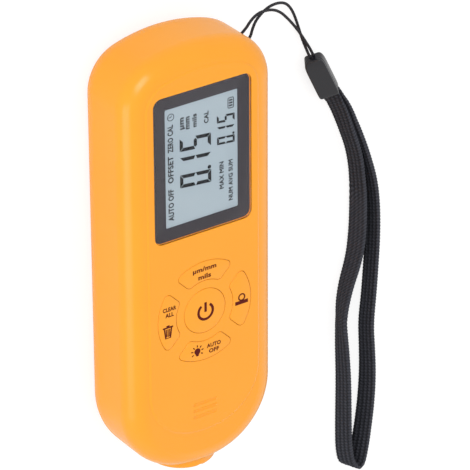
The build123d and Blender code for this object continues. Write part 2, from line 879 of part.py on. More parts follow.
def board_screws():
    """Four small screws that hold the circuit board on the front cover's posts."""
    screws = None
    for x, y in board_screw_places():
        head_bottom = board_bottom - board_screw_head_height
        head = rod_z(board_screw_head, x, y, head_bottom, board_bottom)
        head = fillet(head.edges().group_by(Axis.Z)[0], board_screw_head_round)
        long = board_slot_length / 2
        narrow = board_slot_width / 2
        z1 = head_bottom + board_slot_depth
        slot = block(x - narrow, x + narrow, y - long, y + long, head_bottom - cut_past, z1)
        screw = head + rod_z(board_screw_radius, x, y, board_bottom, board_screw_top) - slot
        screws = screw if screws is None else screws + screw
    return screws


def probe_nose():
    """The nose: a collar with a notched rim, ears behind the end wall and a guide bore."""
    ear_front = nose_ear_front()
    ear_back = ear_front + nose_ear_thickness
    nose = rod_y(nose_radius, nose_end, ear_back, 0, parting_height)
    nose = fillet(nose.edges().sort_by(Axis.Y)[0], nose_edge_round)
    half = nose_ear_height / 2
    nose = nose + block(
        -nose_ear_reach, nose_ear_reach, ear_front, ear_back, parting_height - half, parting_height + half,
    )
    keep = housing_block(wall + nose_gap) + rod_y(nose_radius, nose_end, ear_back, 0, parting_height)
    nose = nose & keep
    nose = nose + rod_y(barrel_radius, ear_front, barrel_end, 0, parting_height)
    nose = nose - rod_y(nose_mouth_radius, nose_end - cut_past, nose_end + nose_mouth_depth, 0, parting_height)
    nose = nose - rod_y(sleeve_radius + guide_gap, nose_end - cut_past, barrel_end + cut_past, 0, parting_height)
    notch = make_face(Polyline(
        (-nose_notch_width / 2, nose_end),
        (nose_notch_width / 2, nose_end),
        (0, nose_end + nose_notch_depth),
        close=True,
    ))
    return nose - Pos(0, 0, parting_height - body_thickness) * extrude(notch, amount=2 * body_thickness)


def probe_sleeve():
    """The steel sleeve that slides in the nose and carries the coil."""
    tip = tip_end + sleeve_tip_setback
    tube = rod_y(sleeve_radius, tip, sleeve_end, 0, parting_height)
    tube = chamfer(tube.edges().sort_by(Axis.Y)[0], sleeve_tip_chamfer)
    tube = tube - rod_y(sleeve_radius - sleeve_wall, tip - cut_past, sleeve_end + cut_past, 0, parting_height)
    groove_start = barrel_end + clip_play
    groove_end = groove_start + clip_thickness
    groove = rod_y(sleeve_radius + cut_past, groove_start, groove_end, 0, parting_height)
    groove = groove - rod_y(sleeve_radius - clip_groove, barrel_end, groove_end, 0, parting_height)
    return tube - groove


def probe_clip():
    """The spring clip in the sleeve's groove, which stops it against the nose."""
    y0 = barrel_end + clip_play
    y1 = y0 + clip_thickness
    ring = rod_y(clip_radius, y0, y1, 0, parting_height)
    ring = ring - rod_y(sleeve_radius - clip_groove, y0 - cut_past, y1 + cut_past, 0, parting_height)
    half = clip_opening / 2
    return ring - block(-half, half, y0 - cut_past, y1 + cut_past, 0, parting_height - pin_radius)


def spool_start():
    """Front face of the coil's spool."""
    return tip_end + sleeve_tip_setback + spool_setback


def probe_spool():
    """The plastic spool inside the sleeve."""
    y0 = spool_start()
    y1 = spool_end
    flange = sleeve_radius - sleeve_wall - press_play
    spool = rod_y(spool_tube, y0, y1, 0, parting_height)
    spool = spool + rod_y(flange, y0, y0 + spool_flange, 0, parting_height)
    spool = spool + rod_y(flange, y1 - spool_flange, y1, 0, parting_height)
    return spool - rod_y(pin_radius + press_play, y0 - cut_past, y1 + cut_past, 0, parting_height)


def probe_coil():
    """The copper winding on the spool."""
    y0 = spool_start() + spool_flange + press_play
    y1 = spool_end - spool_flange - press_play
    coil = rod_y(coil_radius, y0, y1, 0, parting_height)
    return coil - rod_y(spool_tube + press_play, y0 - cut_past, y1 + cut_past, 0, parting_height)


def probe_pin():
    """The hard measuring pin with its round tip."""
    pin = rod_y(pin_radius, tip_end + pin_radius, pin_end, 0, parting_height)
    return pin + Pos(0, tip_end + pin_radius, parting_height) * Sphere(pin_radius)


def probe_spring():
    """The coil spring between the sleeve's clip and the wall in the rear cover."""
    wire = probe_spring_wire
    y0 = barrel_end + clip_play + clip_thickness + wire + spring_end_play
    y1 = spring_wall_y - wire - spring_end_play
    radius = sleeve_radius + probe_spring_gap + wire
    coil = spring_wire(wire, radius, radius, y1 - y0, probe_spring_turns)
    return Pos(0, y0, parting_height) * Rot(-90, 0, 0) * coil


# The string's route through the air and up to the eyelet, chosen by hand.
# The first half runs from the clamp to the post, the second half back to the clamp.
string_in = [
    (53.8, 39.1, 3.2),
    (52.8, 42.2, 2.3),
    (51.3, 45.1, 1.7),
    (49.1, 48.6, 1.9),
    (46.2, 52.3, 2.8),
    (43.0, 55.8, 4.2),
    (39.8, 58.9, 5.8),
    (36.1, 61.4, 7.6),
    (32.2, 62.9, 9.4),
    (28.6, 63.6, 10.9),
    (25.4, 62.9, 12.1),
]
string_out = [
    (25.8, 60.1, 12.1),
    (27.6, 61.6, 11.1),
    (29.8, 62.2, 9.9),
    (32.6, 62.5, 8.3),
    (36.3, 62.3, 6.4),
    (40.4, 61.2, 4.4),
    (43.7, 59.5, 2.9),
    (46.3, 56.7, 1.7),
    (48.2, 53.3, 0.9),
    (49.6, 49.7, 0.5),
    (50.8, 45.8, 0.6),
    (51.8, 42.2, 1.6),
    (52.6, 38.6, 3.2),
]

# The webbing's loop, standing on its edge, chosen by hand.
webbing_route = [
    (57.1, 29.0),
    (60.7, 23.4),
    (64.6, 14.6),
    (67.9, 5.9),
    (69.2, -4.2),
    (68.8, -12.0),
    (67.8, -21.5),
    (66.8, -29.3),
    (64.9, -38.0),
    (63.5, -46.5),
    (63.8, -56.3),
    (64.3, -68.0),
    (64.3, -80.0),
    (64.5, -88.0),
    (65.2, -93.5),
    (66.3, -98.6),
    (69.5, -99.9),
    (70.7, -95.2),
    (71.9, -88.5),
    (73.1, -79.0),
    (73.6, -69.0),
    (73.2, -60.0),
    (72.7, -52.0),
    (73.6, -43.0),
    (74.2, -34.0),
    (74.8, -22.0),
    (74.5, -11.0),
    (73.2, -2.5),
    (70.5, 6.0),
    (66.9, 14.9),
    (62.8, 23.7),
    (58.5, 29.7),
]


def corner_radii(points):
    """Each corner's radius: 0.45 of the shorter run over the tangent of half the turn."""
    radii = []
    for before, here, after in zip(points, points[1:], points[2:]):
        run_in = here - before
        run_out = after - here
        turn = radians(run_in.get_angle(run_out))
        radii.append(0.45 * min(run_in.length, run_out.length) / tan(turn / 2))
    return radii


def string_points():
    """The string's whole route: in from the clamp, round the post, and out again."""
    centre = eyelet_post_centre()
    angle = radians(eyelet_angle)
    outward = Vector(cos(angle), sin(angle), 0)
    across = Vector(-sin(angle), cos(angle), 0)
    reach = eyelet_post_radius + string_radius + string_gap
    mouth = eyelet_post_depth + string_mouth_reach
    first = [Vector(*p) for p in string_in]
    last = [Vector(*p) for p in string_out]
    loop = [
        centre + across * reach + outward * mouth,
        centre + across * reach - outward * reach,
        centre - across * reach - outward * reach,
        centre - across * reach + outward * mouth,
    ]
    return first + loop + last


def lanyard_string():
    """The thin string: one loop from the clamp round the eyelet's post and back."""
    points = string_points()
    radii = corner_radii(points)
    path = FilletPolyline(*points, radius=radii)
    section = Plane(origin=path @ 0, z_dir=path % 0) * Circle(string_radius)
    tube = sweep(section, path=path)
    report_cord("string", points, radii, path, tube.volume, pi * string_radius ** 2)
    return tube


def lanyard_webbing():
    """The flat wrist loop, standing on its edge."""
    points = [Vector(x, y, webbing_width / 2) for x, y in webbing_route]
    radii = corner_radii(points)
    path = FilletPolyline(*points, radius=radii)
    start = Plane(origin=path @ 0, z_dir=path % 0, x_dir=(0, 0, 1))
    band = sweep(start * Rectangle(webbing_width, webbing_thickness), path=path)
    report_cord("webbing", points, radii, path, band.volume, webbing_width * webbing_thickness)
    return band


def report_cord(name, points, radii, path, volume, section_area):
    """Prints a cord's runs, radii and length, and how its volume compares."""
    runs = [round((b - a).length, 1) for a, b in zip(points, points[1:])]
    print(name, "runs", runs)
    print(name, "radii", [round(r, 1) for r in radii])
    print(name, "length", round(path.length, 1), "volume share", round(volume / section_area / path.length, 4))


def lanyard_clamp():
    """The plastic clamp that joins the string to the webbing, rolled on one edge."""
    top = Vector(*clamp_string_end)
    foot = Vector(*clamp_webbing_end)
    along = (foot - top).normalized()
    centre = (top + foot) * 0.5
    shape = Box(clamp_width, clamp_length, clamp_thickness)
    shape = fillet(shape.edges().filter_by(Axis.Y), clamp_long_round)
    shape = fillet(shape.edges().group_by(Axis.Y)[0], clamp_end_round)
    shape = fillet(shape.edges().group_by(Axis.Y)[-1], clamp_end_round)
    turn = degrees(atan2(along.Y, along.X)) + 90
    shape = Rot(0, 0, turn) * Rot(0, -clamp_roll, 0) * shape
    lift = -shape.bounding_box().min.Z
    return Pos(centre.X, centre.Y, lift) * shape


def main():
    os.makedirs("parts", exist_ok=True)
    shell = housing_shell()
    nodes = {
        "front_cover": front_cover(shell),
        "rear_cover": rear_cover(shell),
        "battery_door": battery_door(),
        "display_window": display_window(),
        "window_tape": window_tape(),
        "screen": screen(),
        "light_guide": light_guide(),
        "back_lights": back_lights(),
        "rubber_connector": rubber_connector(),
        "screen_bezel": screen_bezel(),
        "circuit_board": circuit_board(),
        "main_chip": main_chip(),
        "crystal_can": crystal_can(),
        "sounder": sounder(),
        "switch_domes": switch_domes(),
        "key_power": power_key(),
        "key_units": ring_key(0),
        "key_clear": ring_key(90),
        "key_light": ring_key(180),
        "key_zero": ring_key(270),
        "battery_left": battery(-1),
        "battery_right": battery(1),
        "contact_bridge": contact_plate(-bay_half + contact_side_gap, bay_half - contact_side_gap, bay_lower_end),
        "contact_positive": contact_plate(
            -cell_x - contact_width / 2, -cell_x + contact_width / 2, bay_upper_end - contact_thickness,
        ),
        "contact_negative": contact_plate(
            cell_x - contact_width / 2, cell_x + contact_width / 2, bay_upper_end - contact_thickness,
        ),
        "contact_spring_left": contact_spring(
            -cell_x, bay_lower_end + contact_thickness, bay_lower_end + contact_thickness + spring_room,
        ),
        "contact_spring_right": contact_spring(
            cell_x, bay_upper_end - contact_thickness, bay_upper_end - contact_thickness - spring_room,
        ),
        "case_screws": case_screws(),
        "board_screws": board_screws(),
        "probe_nose": probe_nose(),
        "probe_sleeve": probe_sleeve(),
        "probe_clip": probe_clip(),
        "probe_spool": probe_spool(),
        "probe_coil": probe_coil(),
        "probe_pin": probe_pin(),
        "probe_spring": probe_spring(),
        "lanyard_string": lanyard_string(),
        "lanyard_webbing": lanyard_webbing(),
        "lanyard_clamp": lanyard_clamp(),
    }
    for name, shape in nodes.items():
        export_step(shape, f"parts/{name}.step")


main()
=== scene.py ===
# %% [markdown]
# # A coating thickness gauge, dressed for its photograph
# The gauge's solids come packed from the CAD model, each one a named node in metres.
# This lesson gives every one of them a finish, adds what solids are poor at (printed
# words, display figures, soft skins, a knitted wrist strap, clear plastic), and lights
# the result. One rule runs through it: every new shape is worked out with numpy in the
# frame of the CAD model, so nothing has to be fitted by hand afterwards.

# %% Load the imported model
import math

import bmesh
import bpy
import numpy as np
from mathutils import Matrix, Vector


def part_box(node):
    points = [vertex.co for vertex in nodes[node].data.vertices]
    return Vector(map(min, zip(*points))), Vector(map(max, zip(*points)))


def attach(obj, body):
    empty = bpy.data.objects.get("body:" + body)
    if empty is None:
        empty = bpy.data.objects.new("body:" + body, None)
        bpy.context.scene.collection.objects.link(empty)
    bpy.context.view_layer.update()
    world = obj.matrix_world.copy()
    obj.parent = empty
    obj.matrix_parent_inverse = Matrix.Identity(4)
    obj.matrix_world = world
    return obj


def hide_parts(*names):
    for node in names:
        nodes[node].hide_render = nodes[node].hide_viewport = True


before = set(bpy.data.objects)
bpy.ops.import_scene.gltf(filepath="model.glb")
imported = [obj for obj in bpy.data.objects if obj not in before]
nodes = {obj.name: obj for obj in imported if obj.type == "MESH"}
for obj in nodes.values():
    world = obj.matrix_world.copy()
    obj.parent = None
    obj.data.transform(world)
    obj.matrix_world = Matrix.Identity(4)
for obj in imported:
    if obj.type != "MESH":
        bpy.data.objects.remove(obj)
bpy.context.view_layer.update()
mm = 0.001

# %% [markdown]
# ## The camera
# The picture was taken from the gauge's upper left, well above it, with a long lens: the
# far edges are hardly smaller than the near ones. A camera can be set by eye, but a
# direction, a distance and a roll say it exactly. The direction is two angles, the
# distance follows from how much the body's edges draw together, and a small roll is the
# last tenth of a degree.

# %% Camera
view_side_angle = math.radians(34.56)
view_end_angle = math.radians(28.26)
view_roll = math.radians(-0.30)
camera_distance = 1.062
camera_aim = Vector((0.0, 0.033075, 0.0256))
aim_right_of_centre = 0.008617
aim_above_centre = -0.02054
lens_length = 299.2
sensor_width = 36.0

toward_camera = Vector((
    -math.sin(view_side_angle) * math.cos(view_end_angle),
    math.sin(view_end_angle),
    math.cos(view_side_angle) * math.cos(view_end_angle),
))
level_right = Vector((math.cos(view_side_angle), 0.0, math.sin(view_side_angle)))
level_up = toward_camera.cross(level_right)
camera_right = math.cos(view_roll) * level_right + math.sin(view_roll) * level_up
camera_up = math.cos(view_roll) * level_up - math.sin(view_roll) * level_right
camera_place = (
    camera_aim
    + toward_camera * camera_distance
    + camera_right * aim_right_of_centre
    + camera_up * aim_above_centre
)

camera_data = bpy.data.cameras.new("photo_camera")
camera_data.lens = lens_length
camera_data.sensor_width = sensor_width
camera_data.clip_start = 0.01
camera_data.clip_end = 20.0
camera = bpy.data.objects.new("photo_camera", camera_data)
turn = Matrix((camera_right, camera_up, toward_camera)).transposed()
camera.matrix_world = Matrix.Translation(camera_place) @ turn.to_4x4()
bpy.context.scene.collection.objects.link(camera)
bpy.context.scene.camera = camera
print("camera at", [round(v, 4) for v in camera_place])

# %% [markdown]
# ## Putting a numpy surface into a mesh
# Most new shapes here are grids: a function of two parameters gives one point for each
# crossing. One helper turns such a grid into a closed mesh: it joins each row's last
# point to its first, as in a tube, and closes both ends with a fan round one point.

# %% Grid to mesh
def mesh_object(name, points, faces, smooth=True):
    """A new object at the origin with these points (metres) and faces."""
    mesh = bpy.data.meshes.new(name)
    mesh.from_pydata(np.asarray(points, float).reshape(-1, 3), [], faces)
    mesh.polygons.foreach_set("use_smooth", np.full(len(mesh.polygons), smooth))
    mesh.update()
    made = bpy.data.objects.new(name, mesh)
    bpy.context.scene.collection.objects.link(made)
    return made


def tube_faces(rows, columns):
    """Quads of a grid whose rows go round, and a fan to one more point at each end.

    Point (r, c) has the number r * columns + c. The two end points come after the grid.
    """
    r, c = np.meshgrid(np.arange(rows - 1), np.arange(columns), indexing="ij")
    after = (c + 1) % columns
    quads = np.stack(
        [r * columns + c, r * columns + after, (r + 1) * columns + after, (r + 1) * columns + c],
        axis=-1,
    ).reshape(-1, 4)
    ring = np.arange(columns)
    next_in_ring = (ring + 1) % columns
    first_pole = np.full(columns, rows * columns)
    last_row = (rows - 1) * columns
    start = np.stack([first_pole, next_in_ring, ring], axis=-1)
    end = np.stack([first_pole + 1, last_row + ring, last_row + next_in_ring], axis=-1)
    return quads.tolist() + start.tolist() + end.tolist()


print("faces of a tube of 3 rows of 8 points:", len(tube_faces(3, 8)))

# %% What a mesh carries besides its points
def read_values(items, name, kind=float, size=1):
    """One value, or a few, of each of a mesh's items, as an array."""
    values = np.zeros(len(items) * size, kind)
    items.foreach_get(name, values)
    return values.reshape(-1, size) if size > 1 else values


def write_uv(made, u, v):
    """The map in millimetres: u along the piece, v round it, carried on past the seam."""
    mesh = made.data
    corner_point = read_values(mesh.loops, "vertex_index", int)
    corner_v = v[corner_point]
    starts = read_values(mesh.polygons, "loop_start", int)
    sizes = read_values(mesh.polygons, "loop_total", int)
    face_of_corner = np.repeat(np.arange(len(sizes)), sizes)
    face_low = np.minimum.reduceat(corner_v, starts)[face_of_corner]
    face_high = np.maximum.reduceat(corner_v, starts)[face_of_corner]
    round_length = v.max() + v[1] - v[0]
    across_seam = (face_high - face_low > round_length / 2) & (corner_v < round_length / 2)
    corner_v = corner_v + across_seam * round_length
    layer = mesh.uv_layers.new(name="along_and_round")
    layer.uv.foreach_set("vector", np.stack([u[corner_point], corner_v], axis=-1).ravel())


def write_relief(made, relief):
    """How high each point of a grid stands in its relief, 0 to 1, for the material to read."""
    layer = made.data.attributes.new("relief", "FLOAT", "POINT")
    ends = np.full(len(made.data.vertices) - relief.size, 0.5)
    layer.data.foreach_set("value", np.concatenate([relief.ravel(), ends]))


def solid_volume(made):
    """The piece's volume in cubic millimetres; a minus sign would mean faces turned inwards."""
    whole = bmesh.new()
    whole.from_mesh(made.data)
    volume = whole.calc_volume(signed=True) / mm ** 3
    whole.free()
    return round(volume, 2)


print("helpers ready: map, relief, volume")

# %% [markdown]
# ## The path of a cord
# A soft cord has no corners, so its line is a smooth spline drawn through the air by a
# few given points. The spline is made once, read back as a fine row of points,
# and every cord shape below is a profile carried along such a row.

# %% Spline to points
def mesh_of_curve(curve):
    """The mesh that a curve or a text shows. The curve itself is removed."""
    holder = bpy.data.objects.new(curve.name, curve)
    bpy.context.scene.collection.objects.link(holder)
    bpy.context.view_layer.update()
    seen = holder.evaluated_get(bpy.context.evaluated_depsgraph_get())
    mesh = bpy.data.meshes.new_from_object(seen)
    bpy.data.objects.remove(holder)
    bpy.data.curves.remove(curve)
    return mesh


def smooth_path(name, control_points, resolution=16):
    """Points (metres) along an order-three spline that has these control points."""
    curve = bpy.data.curves.new(name, "CURVE")
    curve.dimensions = "3D"
    spline = curve.splines.new("NURBS")
    spline.points.add(len(control_points) - 1)
    weights = np.ones((len(control_points), 1))
    spline.points.foreach_set("co", np.hstack([control_points, weights]).ravel())
    spline.order_u = 3
    spline.use_endpoint_u = True
    spline.resolution_u = resolution
    line = mesh_of_curve(curve)
    points = read_values(line.vertices, "co", size=3)
    bpy.data.meshes.remove(line)
    return points


def path_length(path):
    """Distance along the path at each of its points."""
    steps = np.linalg.norm(np.diff(path, axis=0), axis=1)
    return np.concatenate([[0.0], np.cumsum(steps)])


def at_places(path, places):
    """The path's points at these distances along it, in between its own points."""
    along = path_length(path)
    return np.stack([np.interp(places, along, axis) for axis in path.T], axis=-1)


def even_path(path, step):
    """The same line with points at even distances."""
    length = path_length(path)[-1]
    return at_places(path, np.linspace(0.0, length, int(round(length / step)) + 1))


def directions(path):
    """The unit direction of the path at each point, from its two neighbours."""
    ahead = np.gradient(path, axis=0)
    return ahead / np.linalg.norm(ahead, axis=1, keepdims=True)


print("helpers ready: spline, length, even steps, directions")

# %% A profile along a path
def carry_profile(name, path, across, outward, profile):
    """A profile carried along a path, closed at both ends.

    Point (i, j) = path[i] + profile[i, j, 0] * across[i] + profile[i, j, 1] * outward[i].
    """
    rows, columns = profile.shape[:2]
    grid = (
        path[:, None, :]
        + profile[..., 0:1] * across[:, None, :]
        + profile[..., 1:2] * outward[:, None, :]
    )
    points = np.concatenate([grid.reshape(-1, 3), path[:1], path[-1:]])
    made = mesh_object(name, points, tube_faces(rows, columns))
    along = path_length(path) / mm
    around = path_length(profile[rows // 2]) / mm
    u = np.concatenate([np.repeat(along, columns), along[:1], along[-1:]])
    v = np.concatenate([np.tile(around, rows), around[:1], around[:1]])
    write_uv(made, u, v)
    return made


print("helper ready: a profile along a path")

# %% [markdown]
# ## The webbing loop
# The wrist loop is a knitted tape, six millimetres wide, that stands on its edge on the
# table: that is how a stiff tape comes to rest when its two ends are held together. It
# leaves the clamp lying nearly flat and pressed thin, rises within a centimetre, and
# leans over a little at the fold, so the profile's upright direction turns by an angle
# that changes along the length. The knit is real relief: four ribs run along each face,
# and stitches cross them. A cloth simulation would give folds that the real tape doesn't
# have, and it would lose the stitches.

# %% Webbing: route and lean
webbing_width = 6.0 * mm
webbing_thickness = 1.8 * mm
# The route of its middle line is in mm, at one height above the table.
webbing_height = 3.0
webbing_route = [
    (57.8, 29.3), (61.3, 23.6), (64.8, 14.7), (67.9, 5.9), (69.2, -4.2), (69.4, -12.0),
    (69.2, -21.5), (68.0, -29.3), (64.9, -38.0), (63.5, -46.5), (64.0, -56.3),
    (64.7, -68.0), (64.8, -80.0), (64.9, -88.0), (65.2, -93.5), (66.3, -98.6),
    (69.5, -99.9), (70.7, -95.2), (71.9, -88.5), (73.1, -79.0), (73.6, -69.0),
    (73.2, -60.0), (72.7, -52.0), (73.6, -43.0), (74.2, -34.0), (74.8, -22.0),
    (74.5, -11.0), (73.2, -2.5), (70.5, 6.0), (66.9, 14.9), (62.8, 23.7), (58.5, 29.7),
]
webbing_points = [(x * mm, y * mm, webbing_height * mm) for x, y in webbing_route]
stitch_length = 1.05 * mm
steps_per_stitch = 4
webbing_path = even_path(
    smooth_path("webbing_line", webbing_points), stitch_length / steps_per_stitch
)
webbing_along = path_length(webbing_path)

# Each place along the tape in mm, with its lean in degrees.
lean_by_place = [
    (0, 58), (3, 50), (6, 26), (16, 14), (32, 9), (42, 16), (54, 18), (64, 8), (80, -12),
    (90, 0), (98, 5), (110, 10), (120, 14), (131, 22), (137, 24), (146, 17), (158, 15),
    (170, 11), (188, 3), (236, 4), (252, 14), (262, 34), (266, 58),
]
lean_places, lean_degrees = zip(*lean_by_place)
webbing_lean = np.radians(np.interp(webbing_along / mm, lean_places, lean_degrees))[:, None]

# %% Webbing: knitted section
rib_count = 4
rib_depth = 0.2 * mm
stitch_depth = 0.18 * mm
edge_swell = 0.12 * mm
twill_from = 36.0 * mm
twill_to = 84.0 * mm
twill_blend = 6.0 * mm
pinch_length = 7.0 * mm
pinch = 0.22
press_length = 17.0 * mm
press = 0.62
points_across = 34
crowding_to_edges = 0.4
body_power = 16
relief_power = 30
swell_power = 15


def near_ends(along, length):
    """1 at both ends of the tape, falling evenly to 0 at this distance from them."""
    from_end = np.minimum(along, along[-1] - along)[:, None]
    return np.clip(1.0 - from_end / length, 0.0, 1.0)


def knitted_tape(along, width, thickness):
    """A flat tape's section at each distance along, with a knitted relief.

    Over w from -1 to 1 the half thickness is t/2 * sqrt(1 - w^16). A cosine of w draws the
    valleys between the ribs, and a cosine of the distance, shifted from rib to rib, those
    between the stitches. Where the tape is twisted the shift grows evenly, as in a twill.
    Near its ends the tape is pinched narrower and pressed thinner.
    """
    share = np.linspace(-1.0, 1.0, points_across)
    bent_share = np.sin(share * math.pi / 2)
    w = (1.0 - crowding_to_edges) * share + crowding_to_edges * bent_share
    body = thickness / 2 * np.sqrt(np.clip(1.0 - w ** body_power, 0.0, 1.0))
    rib_phase = (w + 1.0) * rib_count / 2
    rib = 0.5 + 0.5 * np.cos(2 * math.pi * rib_phase)
    alternate = np.round(rib_phase) * math.pi
    slanting = w * width / stitch_length * math.pi
    after_start = np.clip((along - twill_from) / twill_blend, 0, 1)
    before_end = np.clip((twill_to - along) / twill_blend, 0, 1)
    twill = (after_start * before_end)[:, None]
    shift = alternate + twill * (slanting - alternate)
    rib = rib + twill * 0.5 * (1.0 - rib)
    stitch = 0.5 + 0.5 * np.cos(2 * math.pi * along[:, None] / stitch_length + shift)
    relief = rib_depth * (1.0 - rib) + stitch_depth * (1.0 - stitch)
    half = np.clip(body - relief * np.clip(1.0 - w ** relief_power, 0.0, 1.0), 0.0, None)
    half = half * (1.0 - press * near_ends(along, press_length))
    width = width * (1.0 - pinch * near_ends(along, pinch_length))
    across = w * width / 2 + edge_swell * w ** swell_power * (stitch - 1.0)
    right = np.stack([across, half], axis=-1)
    left = np.stack([across, -half], axis=-1)[:, -2:0:-1]
    height = 1.0 - relief / (rib_depth + stitch_depth)
    section = np.concatenate([right, left], axis=1)
    return section, np.concatenate([height, height[:, -2:0:-1]], axis=1)


webbing_section, webbing_relief = knitted_tape(webbing_along, webbing_width, webbing_thickness)
print("webbing section points", webbing_section.shape)

# %% [markdown]
# The lean is counted toward +X on both runs. A tilted upright is made first, and its
# part along the path is taken off it, so the tape is still square to its own path and
# stands upright by itself at the fold, where the path runs along +X.

# %% Webbing: the piece
upright = np.array([0.0, 0.0, 1.0])
toward_x = np.array([1.0, 0.0, 0.0])
webbing_ahead = directions(webbing_path)
tilted = np.cos(webbing_lean) * upright + np.sin(webbing_lean) * toward_x
webbing_up = tilted - webbing_ahead * np.sum(tilted * webbing_ahead, axis=1, keepdims=True)
webbing_up /= np.linalg.norm(webbing_up, axis=1, keepdims=True)
webbing_side = np.cross(webbing_up, webbing_ahead)
webbing = carry_profile("wrist_webbing", webbing_path, webbing_up, webbing_side, webbing_section)
write_relief(webbing, webbing_relief)
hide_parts("lanyard_webbing")
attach(webbing, "root")
print("webbing faces", len(webbing.data.polygons), "volume", solid_volume(webbing))

# %% [markdown]
# ## The string
# A thin braided string runs from the clamp up to the gauge's corner, round a small post
# inside the eyelet, and back. Its two strands cross twice on the way. The path says it
# all: the tube round it is a circle carried along, with the threads of the braid raised
# a few hundredths of a millimetre.

# %% String: route
# All places and reaches are in mm; the loop's corners are given about the post.
post_centre = Vector((20.815, 57.484, 12.75))
eyelet_angle = math.radians(31.0)
loop_reach = 1.7
loop_mouth = 3.3
string_step = 0.2 * mm
outward = Vector((math.cos(eyelet_angle), math.sin(eyelet_angle), 0.0))
crosswise = Vector((-math.sin(eyelet_angle), math.cos(eyelet_angle), 0.0))
string_in = [
    (53.8, 39.1, 3.2), (52.8, 42.2, 2.3), (51.3, 45.1, 1.7), (49.1, 48.6, 1.9),
    (46.2, 52.3, 2.8), (43.0, 55.8, 4.2), (39.8, 58.9, 5.8), (36.1, 61.4, 7.6),
    (32.2, 62.9, 9.4), (28.6, 63.6, 10.9), (25.4, 62.9, 12.1),
]
string_out = [
    (25.8, 60.1, 12.1), (27.6, 61.6, 11.1), (29.8, 62.2, 9.9), (32.6, 62.5, 8.3),
    (36.3, 62.3, 6.4), (40.4, 61.2, 4.4), (43.7, 59.5, 2.9), (46.3, 56.7, 1.7),
    (48.2, 53.3, 0.9), (49.6, 49.7, 0.5), (50.8, 45.8, 0.6), (51.8, 42.2, 1.6),
    (52.6, 38.6, 3.2),
]
corners_round_post = [(1, loop_mouth), (1, -loop_reach), (-1, -loop_reach), (-1, loop_mouth)]
round_the_post = [
    tuple(post_centre + crosswise * side * loop_reach + outward * out)
    for side, out in corners_round_post
]
string_points = np.array(string_in + round_the_post + string_out) * mm
string_path = even_path(smooth_path("string_line", string_points), string_step)
string_along = path_length(string_path)

# %% String: a braided tube
string_radius = 0.42 * mm
braid_strands = 4
braid_pitch = 1.2 * mm
braid_height = 0.03 * mm


def level_frame(path):
    """Two directions square to the path, carried on from each point to the next.

    Each row starts from the one before, less its part along the path, so nothing twists.
    """
    ahead = directions(path)
    first = np.cross(ahead[0], [0.0, 0.0, 1.0])
    across = [first / np.linalg.norm(first)]
    for t in ahead[1:]:
        kept = across[-1] - t * float(across[-1] @ t)
        across.append(kept / np.linalg.norm(kept))
    across = np.array(across)
    return across, np.cross(ahead, across)


def braided_circle(along, points=20):
    """A round section whose radius swells where two sets of winding threads cross it.

    Radius = r + h * (the larger of two cosines of strands * angle, plus and minus the
    distance over the pitch, less one).
    """
    angle = np.linspace(0.0, 2.0 * math.pi, points, endpoint=False)
    turn_on = 2.0 * math.pi * along[:, None] / braid_pitch
    one_way = np.cos(braid_strands * angle + turn_on)
    other_way = np.cos(braid_strands * angle - turn_on)
    swell = np.maximum(one_way, other_way)
    r = string_radius + braid_height * (swell - 1.0)
    return np.stack([r * np.cos(angle), r * np.sin(angle)], axis=-1), 0.5 + swell / 2


string_across, string_up = level_frame(string_path)
string_section, string_relief = braided_circle(string_along)
string = carry_profile("eyelet_string", string_path, string_across, string_up, string_section)
write_relief(string, string_relief)
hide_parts("lanyard_string")
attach(string, "root")
print("string faces", len(string.data.polygons), "volume", solid_volume(string))

# %% [markdown]
# ## The clamp
# String and webbing meet in a small moulded clamp, two shells closed on each other. It
# lies rolled over on one long edge, because the webbing twists it. A bevelled cube would
# do from far away. Here a rounded rectangle is carried along the clamp and drawn in
# toward the ends by a superellipse, rounder at the string than at the webbing, and the
# line where the shells meet is cut round it as a fine groove.

# %% Rounded outlines
def rounded_outline(width, length, corner, inset, corner_points=12):
    """A rounded rectangle about the origin, drawn in by each inset.

    Each corner is a quarter circle of radius corner - inset about the same middle.
    """
    quarter = np.linspace(0.0, math.pi / 2, corner_points)
    angle = (quarter + np.arange(4)[:, None] * math.pi / 2).ravel()
    side = np.repeat(np.array([[1, 1], [-1, 1], [-1, -1], [1, -1]]), corner_points, axis=0)
    middle = side * (np.array([width, length]) / 2 - corner)
    radius = corner - np.asarray(inset, float)[..., None]
    x = middle[:, 0] + radius * np.cos(angle)
    y = middle[:, 1] + radius * np.sin(angle)
    return np.stack([x, y], axis=-1)


def even_loop(outline, count):
    """A closed line again, with points at even distances."""
    closed = np.vstack([outline, outline[:1]])
    length = path_length(closed)[-1]
    return at_places(closed, np.linspace(0.0, length, count, endpoint=False))


def superellipse(share, power):
    """How wide a superellipse of this power still is at a share (-1 to 1) of its length."""
    return np.clip(1.0 - np.abs(share) ** power, 0.0, 1.0) ** (1.0 / power)


print("helpers ready: rounded outline, even loop, superellipse")

# %% Clamp: section
clamp_length = 14.3 * mm
clamp_width = 6.0 * mm
clamp_thickness = 4.3 * mm
clamp_corner = 0.45 * mm
groove_height = 1.1 * mm
groove_half_width = 0.13 * mm
groove_depth = 0.35 * mm
string_end_power = 5.0
webbing_end_power = 12.0
flatter_above = 2.0


